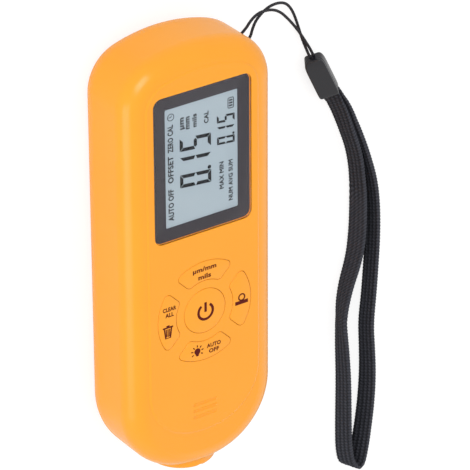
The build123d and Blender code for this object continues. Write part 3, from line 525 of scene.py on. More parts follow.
def clamp_grid(rows=60, columns=240):
    """Points (along, across, up) of the clamp.

    A bell curve of the height draws the rounded rectangle's sides in at the groove. Each
    row is the section, narrowed by a superellipse of its place along the clamp.
    """
    along = np.sin(np.linspace(-math.pi / 2, math.pi / 2, rows + 2))[1:-1]
    section = even_loop(rounded_outline(clamp_width, clamp_thickness, clamp_corner, 0.0), columns)
    bell = np.exp(-((section[:, 1] - groove_height) / groove_half_width) ** 2)
    across = section[:, 0] * (1.0 - bell * groove_depth / (clamp_width / 2))
    power = np.where(along < 0.0, string_end_power, webbing_end_power)
    wide = superellipse(along, power)[:, None] * across
    high = superellipse(along, power + flatter_above)[:, None] * section[:, 1]
    long = np.broadcast_to(along[:, None] * clamp_length / 2, wide.shape)
    return np.stack([long, wide, high], axis=-1)


grid = clamp_grid()
print("clamp grid", grid.shape)

# %% Clamp: its place
clamp_roll = math.radians(35.0)
clamp_string_end = np.array([52.7, 39.9]) * mm
clamp_webbing_end = np.array([58.3, 28.3]) * mm
clamp_centre_height = 3.3 * mm
clamp_middle = np.append((clamp_string_end + clamp_webbing_end) / 2, clamp_centre_height)
clamp_ahead = np.append(clamp_webbing_end - clamp_string_end, 0.0)
clamp_ahead /= np.linalg.norm(clamp_ahead)
clamp_level = np.cross(upright, clamp_ahead)
clamp_across = math.cos(clamp_roll) * clamp_level + math.sin(clamp_roll) * upright
clamp_up = math.cos(clamp_roll) * upright - math.sin(clamp_roll) * clamp_level
clamp_axes = np.stack([clamp_ahead, clamp_across, clamp_up])
ends = np.array([[-clamp_length / 2, 0.0, 0.0], [clamp_length / 2, 0.0, 0.0]])
clamp_points = np.concatenate([grid.reshape(-1, 3), ends]) @ clamp_axes + clamp_middle
clamp = mesh_object("strap_clamp", clamp_points, tube_faces(*grid.shape[:2]))
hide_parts("lanyard_clamp")
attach(clamp, "root")
print("clamp volume", solid_volume(clamp), "lowest", round(float(clamp_points[:, 2].min()) / mm, 2))

# %% [markdown]
# ## The clear window
# A plate of clear acrylic lies in the front cover over a ring of tape. A real plate has
# finely rounded edges, which catch the light as a thin bright line, so it is made as a
# profile (under face, lower edge, side, upper edge, top face) carried round a rounded
# rectangle. It is solid, with an inner and an outer side, so light bends in it properly.

# %% Clear window
window_corner = 2.5 * mm
window_edge = 0.15 * mm
tape_clearance = 0.01 * mm


def stacked_rings(rings, heights, middle):
    """Points and faces of a solid from closed outlines at rising heights.

    The floor and the lid are fans round a middle point at the first and the last height.
    """
    tall = np.broadcast_to(heights[:, None, None], (*rings.shape[:2], 1))
    points = np.concatenate([rings, tall], axis=-1).reshape(-1, 3)
    poles = np.array([[*middle, heights[0]], [*middle, heights[-1]]])
    return np.concatenate([points, poles]), tube_faces(*rings.shape[:2])


def rounded_plate(centre, width, length, corner, low, high, edge):
    """Points and faces of a plate whose lower and upper rims are quarter circles."""
    bend = np.linspace(0.0, math.pi / 2, 5)
    falling = edge * (1.0 - np.sin(bend))
    rising = edge * (1.0 - np.cos(bend))
    rings = rounded_outline(width, length, corner, np.concatenate([falling, rising]))
    heights = np.concatenate([low + rising, high - falling])
    return stacked_rings(rings + np.array(centre), heights, centre)


window_low, window_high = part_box("display_window")
window_size = window_high - window_low
display_centre = np.array([(window_low.x + window_high.x) / 2, (window_low.y + window_high.y) / 2])
tape_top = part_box("window_tape")[1].z
clear_window = mesh_object("clear_window", *rounded_plate(
    display_centre, window_size.x, window_size.y, window_corner,
    tape_top + tape_clearance, window_high.z, window_edge,
))
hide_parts("display_window")
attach(clear_window, "root")
print("window in mm", [round(v / mm, 2) for v in window_size], "volume", solid_volume(clear_window))

# %% [markdown]
# ## Drawing with thin plates
# Words on the real keys are a film of ink a few hundredths of a millimetre thick, and the
# display's figures are as thin. They could be painted in the material with masks, but
# masks need a picture or many nodes, and they blur. Thin plates are sharp at every
# distance and come out in the mesh as well. Three kinds do for everything: a plate from
# an outline, a band along a line, and a word. Each gives points and faces in millimetres,
# and one object joins them.

# %% Plates and bands
ink_low = 0.01
ink_thickness = 0.03
ink_high = ink_low + ink_thickness


def plate(outline):
    """A flat plate of ink: its outline at two heights, a floor, a lid and a wall."""
    outline = np.asarray(outline, float)
    count = len(outline)
    heights = np.repeat([ink_low, ink_high], count)
    points = np.column_stack([np.tile(outline, (2, 1)), heights])
    ring = np.arange(count)
    after = (ring + 1) % count
    walls = np.stack([ring, after, count + after, count + ring], axis=-1)
    return points, [ring[::-1].tolist(), (count + ring).tolist()] + walls.tolist()


def band(line, width, closed=False):
    """A flat band of ink along a line: half its width to each side, square to the line.

    The corners of the section go round: outer low, outer high, inner high, inner low.
    """
    line = np.asarray(line, float)
    ahead = np.gradient(line, axis=0)
    if closed:
        ahead = np.roll(line, -1, axis=0) - np.roll(line, 1, axis=0)
    ahead = ahead / np.linalg.norm(ahead, axis=1, keepdims=True)
    outer = line + np.column_stack([ahead[:, 1], -ahead[:, 0]]) * width / 2
    inner = 2 * line - outer
    section = ((outer, ink_low), (outer, ink_high), (inner, ink_high), (inner, ink_low))
    rows = len(line)
    corners = [np.column_stack([side, np.full(rows, height)]) for side, height in section]
    step = np.arange(rows if closed else rows - 1)
    here = (step * 4)[:, None] + np.arange(4)
    there = (((step + 1) % rows) * 4)[:, None] + np.arange(4)
    quads = np.stack(
        [here, there, np.roll(there, -1, axis=1), np.roll(here, -1, axis=1)], axis=-1
    ).reshape(-1, 4).tolist()
    if not closed:
        last = (rows - 1) * 4
        quads += [[0, 1, 2, 3], [last + 3, last + 2, last + 1, last]]
    return np.stack(corners, axis=1).reshape(-1, 3), quads


def arc(centre, radius, start, end, count=32):
    """Points of an arc from one angle to another, in degrees."""
    angle = np.radians(np.linspace(start, end, count))
    return np.array(centre) + radius * np.stack([np.cos(angle), np.sin(angle)], axis=-1)


def ring_line(centre, radius, count=32):
    """Points of a whole circle, without the first one again."""
    return arc(centre, radius, 0.0, 360.0 * (count - 1) / count, count)


print("ink in mm, from", ink_low, "to", ink_high)

# %% Words
letter_weight = 0.03
letter_spacing = 1.05
merge_distance = 0.0025


def thickened(mesh, weight):
    """The points of a mesh of upright walls and flat lids, its walls moved out by a weight.

    A point between two walls moves along the sum s of their normals by 2 w s / |s|^2,
    which keeps each wall parallel to itself; at sharp tips the move is held back.
    """
    points = read_values(mesh.vertices, "co", size=3)
    corners = read_values(mesh.loops, "vertex_index", int)
    sizes = read_values(mesh.polygons, "loop_total", int)
    normals = np.repeat(read_values(mesh.polygons, "normal", size=3), sizes, axis=0)
    wall = np.abs(normals[:, 2]) < 0.5
    outward = np.zeros_like(points)
    np.add.at(outward, corners[wall], normals[wall])
    outward[:, 2] = 0.0
    square = np.maximum((outward ** 2).sum(axis=1, keepdims=True), 1.0)
    return points + outward * 2.0 * weight / square


def word(text, left, right, low_line, high_line):
    """A word in Blender's own plain font, stretched to fill a box, as a film of ink."""
    letters = bpy.data.curves.new(text, "FONT")
    letters.body = text
    letters.resolution_u = 3
    letters.extrude = 0.5
    letters.space_character = letter_spacing
    raised = mesh_of_curve(letters)
    whole = bmesh.new()
    whole.from_mesh(raised)
    bmesh.ops.remove_doubles(whole, verts=whole.verts, dist=merge_distance)
    bmesh.ops.recalc_face_normals(whole, faces=whole.faces)
    whole.to_mesh(raised)
    whole.free()
    points = thickened(raised, letter_weight)
    faces = [tuple(face.vertices) for face in raised.polygons]
    bpy.data.meshes.remove(raised)
    least = points.min(axis=0)
    share = (points - least) / (points.max(axis=0) - least)
    box_low = np.array([left, low_line, ink_low])
    box_high = np.array([right, high_line, ink_high])
    return box_low + share * (box_high - box_low), faces


def printed(name, shapes, place, quarter_turns=0):
    """One object from many shapes, in mm about a place, turned by quarter turns."""
    all_points = []
    all_faces = []
    count = 0
    for points, faces in shapes:
        all_points.append(points)
        all_faces += [[count + number for number in face] for face in faces]
        count += len(points)
    points = np.vstack(all_points)
    for _ in range(quarter_turns):
        points = points @ np.array([[0.0, 1.0, 0.0], [-1.0, 0.0, 0.0], [0.0, 0.0, 1.0]])
    return mesh_object(name, points * mm + np.array(place), all_faces, smooth=False)


print("points of the word OFF:", len(word("OFF", 0.0, 3.0, 0.0, 1.0)[0]))

# %% [markdown]
# ## The figures on the display
# A liquid crystal display shows figures made of seven bars, each with its ends cut at a
# slant so that the bars can meet without joining. All are drawn upright in the
# display's own reading direction, in millimetres about its middle, leaning a little to
# the right, and then turned a quarter, because the gauge is read from its side. Only
# plain numbers and unit words are shown.

# %% Figures from bars
lean_of_figures = 0.09
gap_of_bars = 0.1
dot_more_than_bar = 0.05
bars_of_figure = {"0": "abcdef", "1": "bc", "5": "acdfg"}


def figure(kind, left, base, width, height, thick):
    """One figure: seven bars with slanting ends in a box, drawn about the box's middle.

    One level bar and one side bar are drawn; the others are their mirror images.
    """
    gap = gap_of_bars * thick
    half = np.array([width, height]) / 2
    x, y = half
    inner, outer = x - thick - gap, x - thick / 2 - gap
    level = [(gap - x, y), (x - gap, y), (inner, y - thick), (-inner, y - thick)]
    side = [
        (x, y - gap), (x, gap / 2),
        (x - thick, (thick + gap) / 2), (x - thick, y - thick - gap),
    ]
    middle = [
        (-outer, 0.0), (-inner, thick / 2), (inner, thick / 2),
        (outer, 0.0), (inner, -thick / 2), (-inner, -thick / 2),
    ]
    bars = {
        "a": (level, 1, 1), "b": (side, 1, 1), "c": (side, 1, -1), "d": (level, 1, -1),
        "e": (side, -1, -1), "f": (side, -1, 1), "g": (middle, 1, 1),
    }
    shapes = []
    for name in bars_of_figure[kind]:
        outline, mirror_x, mirror_y = bars[name]
        drawn = np.array(outline) * (mirror_x, mirror_y) + half
        drawn = drawn[::-mirror_x * mirror_y]
        drawn[:, 0] += left + lean_of_figures * drawn[:, 1]
        drawn[:, 1] += base
        shapes.append(plate(drawn))
    return shapes


def reading(figures, lefts, base, width, height, thick, dot):
    """A row of figures, each from its own left edge, and a round point between them."""
    shapes = []
    for kind, left in zip(figures, lefts):
        shapes += figure(kind, left, base, width, height, thick)
    return shapes + [plate(ring_line(dot, thick / 2 + dot_more_than_bar, 16))]


display_shapes = reading(
    "015", lefts=(-8.0, -2.75, 3.1), base=-3.2, width=3.95, height=10.2, thick=1.05,
    dot=(-3.25, -2.6),
)
display_shapes += reading(
    "015", lefts=(2.0, 5.1, 8.6), base=-11.0, width=2.3, height=5.8, thick=0.64,
    dot=(4.85, -10.6),
)
print("bars and points", len(display_shapes))

# %% Words and signs of the display
# Each word with its box in mm: left, right, low line, high line.
display_words = [
    ("AUTO OFF", -16.2, -6.5, 9.1, 10.9), ("OFFSET", -4.6, 3.6, 9.1, 10.9),
    ("ZERO CAL", 4.7, 13.0, 9.1, 10.9), ("µm", 10.6, 14.2, 5.2, 6.8),
    ("mm", 10.2, 14.0, 3.7, 4.9), ("mils", 10.2, 14.2, 1.4, 2.9),
    ("CAL", 10.3, 13.9, -2.5, -1.0), ("MAX MIN", -11.2, -2.9, -7.3, -5.9),
    ("NUM AVG SUM", -15.6, -3.1, -10.3, -8.9),
]
clock_middle = (15.3, 9.8)
clock_radius = 1.0
clock_hands = [(15.3, 10.5), clock_middle, (15.8, 9.5)]
cell_middle = np.array([14.2, -9.8])
cell_width, cell_height, cell_corner = 3.1, 1.8, 0.4
cell_outline = rounded_outline(cell_width, cell_height, cell_corner, [0.0], corner_points=5)[0]
cell_bars = [[(x, -10.35), (x, -9.25)] for x in (13.4, 14.2, 15.0)]

display_shapes += [word(*text_and_box) for text_and_box in display_words]
display_shapes += [
    band(ring_line(clock_middle, clock_radius), width=0.2, closed=True),
    band(clock_hands, width=0.2),
    band(cell_outline + cell_middle, width=0.22, closed=True),
]
display_shapes += [band(line, width=0.45) for line in cell_bars]
screen_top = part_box("screen")[1].z
display_place = (*display_centre, screen_top)
display_figures = printed("display_figures", display_shapes, display_place, quarter_turns=1)
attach(display_figures, "root")
print("display shapes", len(display_shapes), "volume", solid_volume(display_figures))

# %% [markdown]
# ## Soft skins on the keys
# The keys are moulded with a soft skin: their upper edges are rounded, and they fill
# most of the slit in the cover, so each key shows as a faint line and not as a dark
# gap. The outline is the key's own, a circle or a piece of a ring with round corners,
# worked out for any offset. Offsets that shrink as the height grows give the round edge.

# %% Key outlines
key_ring_inner = 9.65
key_ring_outer = 15.45
key_ring_web = 4.5
key_ring_corner = 1.3
straight_end_facing = -45.0
power_radius = 6.75


def direction_degrees(vector):
    """The angle of a flat vector in degrees."""
    return math.degrees(math.atan2(vector[1], vector[0]))


def ring_key_outline(grow):
    """The ring key above the middle, grown by an offset, as one closed line in mm.

    With half a web h and the corner radius c, the middle of each round corner is h + c
    beside the diagonal and sqrt(r^2 - (h + c)^2) along it, where r is c less than the
    outer radius or c more than the inner one.
    """
    inner = key_ring_inner - grow
    outer = key_ring_outer + grow
    corner = key_ring_corner + grow
    half_web = key_ring_web / 2 - grow
    right_ahead = np.array([1.0, 1.0]) / math.sqrt(2.0)
    right_inward = np.array([-1.0, 1.0]) / math.sqrt(2.0)
    reach = half_web + corner
    far = right_ahead * math.sqrt((outer - corner) ** 2 - reach ** 2) + right_inward * reach
    near = right_ahead * math.sqrt((inner + corner) ** 2 - reach ** 2) + right_inward * reach
    far_angle = direction_degrees(far)
    near_angle = direction_degrees(near)
    right_half = np.vstack([
        arc((0.0, 0.0), inner, 90.0, near_angle, 12)[1:-1],
        arc(near, corner, near_angle + 180.0, straight_end_facing + 360.0, 9),
        arc(far, corner, straight_end_facing, far_angle, 9),
        arc((0.0, 0.0), outer, far_angle, 90.0, 14)[1:],
    ])
    left_half = right_half[:-1][::-1] * np.array([-1.0, 1.0])
    return np.vstack([right_half, left_half])


def power_key_outline(grow):
    """The round key's outline, grown by an offset."""
    return ring_line((0.0, 0.0), power_radius + grow, 96)


print("ring key's size in mm", np.ptp(ring_key_outline(0.0), axis=0).round(2))

# %% Key skins
skin_grow = 0.09
skin_depth = 0.5
skin_edge = 0.24
skin_rise = 0.01
key_low, key_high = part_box("key_power")
keypad_place = ((key_low.x + key_high.x) / 2, (key_low.y + key_high.y) / 2, key_high.z)
ring_key_middle = (key_ring_inner + key_ring_outer) / 2
ring_keys = ("key_units", "key_clear", "key_light", "key_zero")


def key_skin(key, outline, middle, quarter_turns=0):
    """A solid skin over a key: its outline carried up and drawn in by a quarter circle."""
    bend = np.linspace(0.0, math.pi / 2, 7)
    offsets = np.concatenate([[skin_grow], skin_grow - skin_edge * (1.0 - np.cos(bend))])
    heights = np.concatenate([[-skin_depth], skin_rise - skin_edge * (1.0 - np.sin(bend))])
    rings = np.stack([outline(offset) for offset in offsets])
    shape = stacked_rings(rings, heights, middle)
    made = printed("skin_of_" + key, [shape], keypad_place, quarter_turns)
    made.data.shade_smooth()
    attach(made, key)
    return made


key_skins = [key_skin("key_power", power_key_outline, (0.0, 0.0))]
key_skins += [
    key_skin(key, ring_key_outline, (0.0, ring_key_middle), turns)
    for turns, key in enumerate(ring_keys)
]
print("key skins", len(key_skins), "volumes", [solid_volume(skin) for skin in key_skins])

# %% [markdown]
# ## The legends on the keys
# The keys carry a dark red-brown print: a power sign in the middle, unit words above, a
# lamp and two words below, a clearing sign on the left and a zero sign on the right.
# Every print rides on its own key, because it goes down with it when the key is pressed.

# %% Legends
legend_place = (keypad_place[0], keypad_place[1], keypad_place[2] + skin_rise * mm)


def legend(key, shapes):
    """A print on this key, in mm about the middle of the round key, riding on the key."""
    made = printed("legend_of_" + key, shapes, legend_place)
    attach(made, key)
    return made


# All places are in mm about the middle of the round key.
power_sign = [
    band(arc((0.2, -0.3), radius=2.4, start=126.0, end=414.0, count=48), width=0.78),
    band([(0.2, 2.6), (0.2, -0.4)], width=0.78),
]
unit_words = [word("µm/mm", -3.9, 3.9, 12.3, 14.1), word("mils", -2.1, 2.1, 10.2, 11.7)]
ray_starts = arc((-2.7, -12.3), radius=1.4, start=-30.0, end=210.0, count=7)
ray_ends = arc((-2.7, -12.3), radius=2.1, start=-30.0, end=210.0, count=7)
rays = [band([near, far], width=0.32) for near, far in zip(ray_starts, ray_ends)]
lamp_foot = [(-3.05, -13.7), (-2.35, -13.7)]
lamp_glass = arc((-2.7, -12.2), radius=1.0, start=-50.0, end=230.0, count=20)
lamp_sign = plate(np.vstack([lamp_glass, lamp_foot]))
lamp_words = [word("AUTO", 0.5, 5.2, -12.2, -10.9), word("OFF", 1.2, 4.6, -14.0, -12.7)]
bin_feet = [(-13.0, -12.91), (-12.4, -12.4), (-11.8, -11.89)]
bin_bars = [band([(top, -1.9), (foot, -4.3)], width=0.34) for top, foot in bin_feet]
bin_side = band([(-13.6, -1.6), (-13.2, -4.7), (-11.6, -4.7), (-11.2, -1.6)], width=0.4)
bin_lid = band([(-14.1, -1.4), (-10.7, -1.4)], width=0.45)
bin_grip = band([(-12.9, -0.95), (-11.9, -0.95)], width=0.45)
clear_words = [word("CLEAR", -14.0, -9.6, 3.6, 4.9), word("ALL", -13.2, -10.4, 1.8, 3.1)]
zero_sign = [
    band(ring_line((12.4, 0.35), radius=1.0), width=0.42, closed=True),
    plate([(10.2, -1.8), (14.5, -1.8), (14.5, -0.7), (10.2, -0.7)]),
]
legends = [
    legend("key_power", power_sign),
    legend("key_units", unit_words),
    legend("key_light", rays + [lamp_sign] + lamp_words),
    legend("key_clear", bin_bars + clear_words + [bin_side, bin_lid, bin_grip]),
    legend("key_zero", zero_sign),
]
print("legends", len(legends), "volumes", [solid_volume(made) for made in legends])

# %% [markdown]
# ## Shared surface effects
# Moulded plastic is never one colour. Under a soft light there is a very fine grain from
# the mould, broad and faint changes in shine where hands have touched it, and a little
# unevenness in the colour. These are the same on every plastic part and differ only in
# amount, so they are drawn once, in a shader node group, and each material sets its own
# numbers. The group reads Object coordinates, which are the metres of the frame.

# %% Nodes and groups
pale = (0.8, 0.8, 0.8, 1.0)


def feed(node, values):
    """Fills a node's inputs: a value that is a socket is linked, any other one is set."""
    for key, value in values.items():
        if isinstance(value, bpy.types.NodeSocket):
            node.id_data.links.new(value, node.inputs[key])
        else:
            node.inputs[key].default_value = value


def add_node(tree, kind, values=None, **settings):
    """A shader node of this kind, with its settings made and its inputs filled."""
    node = tree.nodes.new("ShaderNode" + kind)
    for key, value in settings.items():
        setattr(node, key, value)
    feed(node, values or {})
    return node


def math_node(tree, operation, *values, clamp=False):
    """The result of one operation on sockets or numbers."""
    filled = dict(enumerate(values))
    return add_node(tree, "Math", filled, operation=operation, use_clamp=clamp).outputs[0]


def new_group(name, inputs):
    """An empty group with these inputs (a number or a colour each) and three outputs."""
    group = bpy.data.node_groups.new(name, "ShaderNodeTree")
    for label, default in inputs.items():
        kind = "NodeSocketFloat" if isinstance(default, float) else "NodeSocketColor"
        socket = group.interface.new_socket(label, in_out="INPUT", socket_type=kind)
        socket.default_value = default
    for label, kind in (("Colour", "Color"), ("Roughness", "Float"), ("Height", "Float")):
        group.interface.new_socket(label, in_out="OUTPUT", socket_type="NodeSocket" + kind)
    inside = group.nodes.new("NodeGroupInput")
    return group, inside.outputs, group.nodes.new("NodeGroupOutput")


print("helpers ready: feed, node, operation, group")

# %% Group: moulded surface
def moulded_surface_group():
    """Grain and handling of moulded plastic.

    Height is a fine noise; Colour lies between two values by a broad noise; Roughness is
    the given one, more or less by a smaller noise times Handling.
    """
    group, given, outside = new_group("moulded_surface", {
        "Grain Scale": 2600.0, "Handling": 0.05, "Roughness": 0.4,
        "Colour": pale, "Worn Colour": pale,
    })
    place = add_node(group, "TexCoord").outputs["Object"]
    grain = add_node(group, "TexNoise", {
        "Vector": place, "Scale": given["Grain Scale"], "Detail": 2.0, "Roughness": 0.6,
    })
    broad = add_node(group, "TexNoise", {"Vector": place, "Scale": 42.0, "Detail": 4.0})
    spread = add_node(group, "MapRange", {
        "Value": broad.outputs["Fac"], "From Min": 0.38, "From Max": 0.66,
    })
    blend = add_node(group, "Mix", {
        "Factor": spread.outputs["Result"], "A": given["Colour"], "B": given["Worn Colour"],
    }, data_type="RGBA")
    smear = add_node(group, "TexNoise", {
        "Vector": place, "Scale": 95.0, "Detail": 3.0, "Distortion": 0.6,
    })
    centred = math_node(group, "SUBTRACT", smear.outputs["Fac"], 0.5)
    scaled = math_node(group, "MULTIPLY", centred, given["Handling"])
    total = math_node(group, "ADD", scaled, given["Roughness"], clamp=True)
    feed(outside, {
        "Colour": blend.outputs["Result"], "Roughness": total, "Height": grain.outputs["Fac"],
    })
    return group


moulded_surface = moulded_surface_group()
print("group", moulded_surface.name, "with", len(moulded_surface.nodes), "nodes")

# %% [markdown]
# ## Plastic finishes
# Each plastic is a Principled shader fed by the group: colour, roughness and the grain's
# height change over the surface, while what is the same everywhere (how strongly it
# mirrors, whether it is metal) is set on the shader itself.

# %% Materials of plastic
grain_scale = 2600.0
grain_depth = 0.00002
handling = 0.06
dull = 0.1


def new_material(name):
    """A material with a bare Principled shader: (material, its tree, the shader)."""
    material = bpy.data.materials.new(name)
    material.use_nodes = True
    tree = material.node_tree
    shader = next(n for n in tree.nodes if n.type == "BSDF_PRINCIPLED")
    return material, tree, shader


def fill_shader(shader, colour, roughness, height, strength, depth):
    """Colour and roughness go into the shader, and a height as a bump of this depth."""
    relief = add_node(shader.id_data, "Bump", {
        "Strength": strength, "Distance": depth, "Height": height,
    })
    feed(shader, {
        "Base Color": colour, "Roughness": roughness, "Normal": relief.outputs["Normal"],
    })


def plastic(name, colour, worn, roughness, bump=0.12, mirror=0.5):
    """Moulded plastic: two near colours, a roughness that changes with handling, a grain."""
    material, tree, shader = new_material(name)
    surface = add_node(tree, "Group", node_tree=moulded_surface)
    feed(surface, {
        "Grain Scale": grain_scale, "Handling": handling, "Roughness": roughness,
        "Colour": (*colour, 1.0), "Worn Colour": (*worn, 1.0),
    })
    out = surface.outputs
    fill_shader(shader, out["Colour"], out["Roughness"], out["Height"], bump, grain_depth)
    shader.inputs["Specular IOR Level"].default_value = mirror
    return material


orange = (0.96, 0.36, 0.01)
orange_worn = (0.94, 0.35, 0.009)
housing_plastic = plastic("orange_housing", orange, orange_worn, 0.25)
key_plastic = plastic("orange_keys", orange, orange_worn, 0.42)
black_plastic = plastic("black_plastic", (0.022, 0.022, 0.024), (0.03, 0.03, 0.032), 0.45)
clamp_plastic = plastic("clamp_plastic", (0.004, 0.004, 0.007), (0.006, 0.006, 0.01), 0.26)
black_rubber = plastic(
    "black_rubber", (0.018, 0.018, 0.019), (0.026, 0.026, 0.027), 0.75, bump=0.25
)
border_tape = plastic(
    "dark_window_tape", (0.034, 0.03, 0.037), (0.037, 0.033, 0.04), 0.6, bump=0.05, mirror=dull
)
lamp_body = plastic("lamp_body", (0.85, 0.83, 0.7), (0.8, 0.78, 0.62), 0.35)
nylon = plastic("nylon_clip", (0.82, 0.81, 0.76), (0.77, 0.76, 0.7), 0.4)
milky_guide = plastic("light_guide_plastic", (0.82, 0.86, 0.86), (0.78, 0.83, 0.84), 0.18)
display_ground = plastic(
    "display_ground", (0.36, 0.428, 0.472), (0.35, 0.418, 0.462), 0.45, bump=0.02, mirror=dull
)
display_ink = plastic(
    "display_ink", (0.002, 0.003, 0.005), (0.003, 0.004, 0.006), 0.5, bump=0.02, mirror=dull
)
legend_ink = plastic(
    "legend_ink", (0.1, 0.008, 0.005), (0.12, 0.011, 0.007), 0.5, bump=0.05, mirror=dull
)
green_board = plastic("circuit_board", (0.02, 0.16, 0.06), (0.015, 0.13, 0.05), 0.4)
print("plastics", len(bpy.data.materials))

# %% [markdown]
# ## Metal finishes
# The metal parts are small and mostly inside: plated springs and contacts, screws, the
# crystal's can and the probe's hard pin. Metals differ in colour and in how fine the
# brushing or plating is. A stretched noise stands for drawn or brushed metal.

# %% Materials of metal
# How many times finer the noise is along x, y and z.
brushed_lines = (1.0, 1.0, 6.0)
wound_turns = (1.0, 30.0, 1.0)
roughness_spread = 0.25
metal_bump = 0.08


def metal(name, colour, dark, roughness, stretch=brushed_lines, scale=900.0):
    """Plated or drawn metal: a stretched noise changes its colour and its roughness."""
    material, tree, shader = new_material(name)
    place = add_node(tree, "TexCoord").outputs["Object"]
    stretched = add_node(tree, "Mapping", {"Vector": place, "Scale": stretch}).outputs["Vector"]
    streak = add_node(tree, "TexNoise", {"Vector": stretched, "Scale": scale, "Detail": 3.0})
    streak = streak.outputs["Fac"]
    tones = add_node(
        tree, "Mix", {"A": (*dark, 1.0), "B": (*colour, 1.0), "Factor": streak}, data_type="RGBA"
    )
    rough = add_node(tree, "MapRange", {
        "Value": streak,
        "To Min": roughness * (1.0 - roughness_spread),
        "To Max": roughness * (1.0 + roughness_spread),
    })
    colour_and_roughness = tones.outputs["Result"], rough.outputs["Result"]
    fill_shader(shader, *colour_and_roughness, streak, metal_bump, grain_depth)
    shader.inputs["Metallic"].default_value = 1.0
    return material


bright_metal = metal("plated_steel", (0.72, 0.72, 0.70), (0.6, 0.6, 0.58), 0.3)
spring_metal = metal("spring_wire", (0.62, 0.61, 0.58), (0.48, 0.47, 0.45), 0.32)
probe_metal = metal("hardened_pin", (0.55, 0.55, 0.56), (0.45, 0.45, 0.46), 0.22)
copper_wire = metal(
    "copper_winding", (0.75, 0.36, 0.18), (0.55, 0.22, 0.1), 0.35, wound_turns, scale=260.0
)
print("metals done, materials now", len(bpy.data.materials))

# %% [markdown]
# ## Threads
# Webbing and string are knitted and braided from the same dull black yarn. Their large
# relief is in the mesh, and the mesh carries how high each point stands, from 0 in the
# valleys to 1 on the stitches. Less light gets into the valleys than a smooth mesh can
# show, so the yarn is darker there. The single filaments, a tenth of a millimetre thick,
# are drawn from the piece's own map, whose u runs along the piece and v round it. One
# group draws both for webbing and string.

# %% Group: yarn
def yarn_group():
    """Filaments of yarn from a map in millimetres and a relief from 0 to 1.

    Height is a sine of (u * slant + v) over the filament's pitch. The relief, roughened by
    a fine noise, blends the yarn's colour with a darker one, a painted shade in the valleys.
    """
    group, given, outside = new_group("yarn", {
        "Filament Pitch": 0.3, "Slant": 1.0, "Colour": pale, "Valley Painted Shade": pale,
    })
    chart = add_node(group, "UVMap", uv_map="along_and_round").outputs["UV"]
    apart = add_node(group, "SeparateXYZ", {"Vector": chart}).outputs
    slanted = math_node(group, "MULTIPLY_ADD", apart["X"], given["Slant"], apart["Y"])
    turns = math_node(group, "DIVIDE", slanted, given["Filament Pitch"])
    wave = math_node(group, "SINE", math_node(group, "MULTIPLY", turns, 2.0 * math.pi))
    height = math_node(group, "MULTIPLY_ADD", wave, 0.5, 0.5)
    place = add_node(group, "TexCoord").outputs["Object"]
    fuzz = add_node(group, "TexNoise", {"Vector": place, "Scale": 900.0, "Detail": 3.0})
    fuzz = fuzz.outputs["Fac"]
    relief = add_node(group, "Attribute", attribute_name="relief").outputs["Fac"]
    steep = math_node(group, "POWER", relief, 1.6)
    uneven = add_node(group, "MapRange", {"Value": fuzz, "To Min": 0.6, "To Max": 1.2})
    share = math_node(group, "MULTIPLY", steep, uneven.outputs["Result"], clamp=True)
    # Painted shade: the valleys get the darker colour, the stitches the yarn's own.
    tones = add_node(group, "Mix", {
        "Factor": share, "A": given["Valley Painted Shade"], "B": given["Colour"],
    }, data_type="RGBA")
    rough = add_node(group, "MapRange", {"Value": fuzz, "To Min": 0.95, "To Max": 0.7})
    feed(outside, {
        "Colour": tones.outputs["Result"], "Roughness": rough.outputs["Result"], "Height": height,
    })
    return group


yarn = yarn_group()
filament_bump = 0.5
filament_depth = 0.00004
yarn_mirror = 0.3


def thread_material(name, colour, valley_shade, pitch, slant):
    """Dull yarn: the group's colours, roughness and filaments, and little mirror."""
    material, tree, shader = new_material(name)
    surface = add_node(tree, "Group", node_tree=yarn)
    feed(surface, {
        "Filament Pitch": pitch, "Slant": slant,
        "Colour": (*colour, 1.0), "Valley Painted Shade": (*valley_shade, 1.0),
    })
    out = surface.outputs
    fill_shader(
        shader, out["Colour"], out["Roughness"], out["Height"], filament_bump, filament_depth
    )
    shader.inputs["Specular IOR Level"].default_value = yarn_mirror
    return material


# The second colour of each yarn is the painted shade of its valleys.
webbing_yarn = thread_material(
    "webbing_yarn", (0.054, 0.056, 0.072), (0.004, 0.005, 0.008), pitch=0.35, slant=0.9
)
string_yarn = thread_material(
    "string_yarn", (0.034, 0.032, 0.038), (0.012, 0.012, 0.014), pitch=0.2, slant=1.6
)
print("group", yarn.name, "with", len(yarn.nodes), "nodes")

# %% [markdown]
# ## Clear acrylic
# Glass in a path tracer bends light properly but casts a dark shadow, because a straight
# ray to a lamp can't pass it. The usual mend is to let such shadow rays through: the
# shader is mixed with a transparent one by Light Path's Is Shadow Ray. The plate is
# coated against reflections, as windows over displays are, so it bends light less than
# plain acrylic would, and faint smears change how sharp its mirror is.

# %% Material: clear window
def clear_material(name, index, roughness):
    """Clear plastic with faint smears that casts no dark shadow."""
    material, tree, shader = new_material(name)
    surface = add_node(tree, "Group", node_tree=moulded_surface)
    feed(surface, {
        "Handling": 0.01, "Roughness": roughness,
        "Colour": (1.0, 1.0, 1.0, 1.0), "Worn Colour": (0.985, 0.99, 1.0, 1.0),
    })
    feed(shader, {
        "Base Color": surface.outputs["Colour"], "Roughness": surface.outputs["Roughness"],
        "Transmission Weight": 1.0, "IOR": index,
    })
    clear = add_node(tree, "BsdfTransparent")
    ray = add_node(tree, "LightPath")
    mix = add_node(tree, "MixShader", {
        "Fac": ray.outputs["Is Shadow Ray"], 1: shader.outputs["BSDF"], 2: clear.outputs["BSDF"],
    })
    out = next(n for n in tree.nodes if n.type == "OUTPUT_MATERIAL")
    feed(out, {"Surface": mix.outputs["Shader"]})
    return material


clear_acrylic = clear_material("clear_acrylic", index=1.22, roughness=0.004)
print("clear material", clear_acrylic.name)

# %% [markdown]
# ## Materials by node
# Every solid that stays visible gets one of these finishes. The housing is one colour
# all over; the inside parts follow what such a part is usually made of.

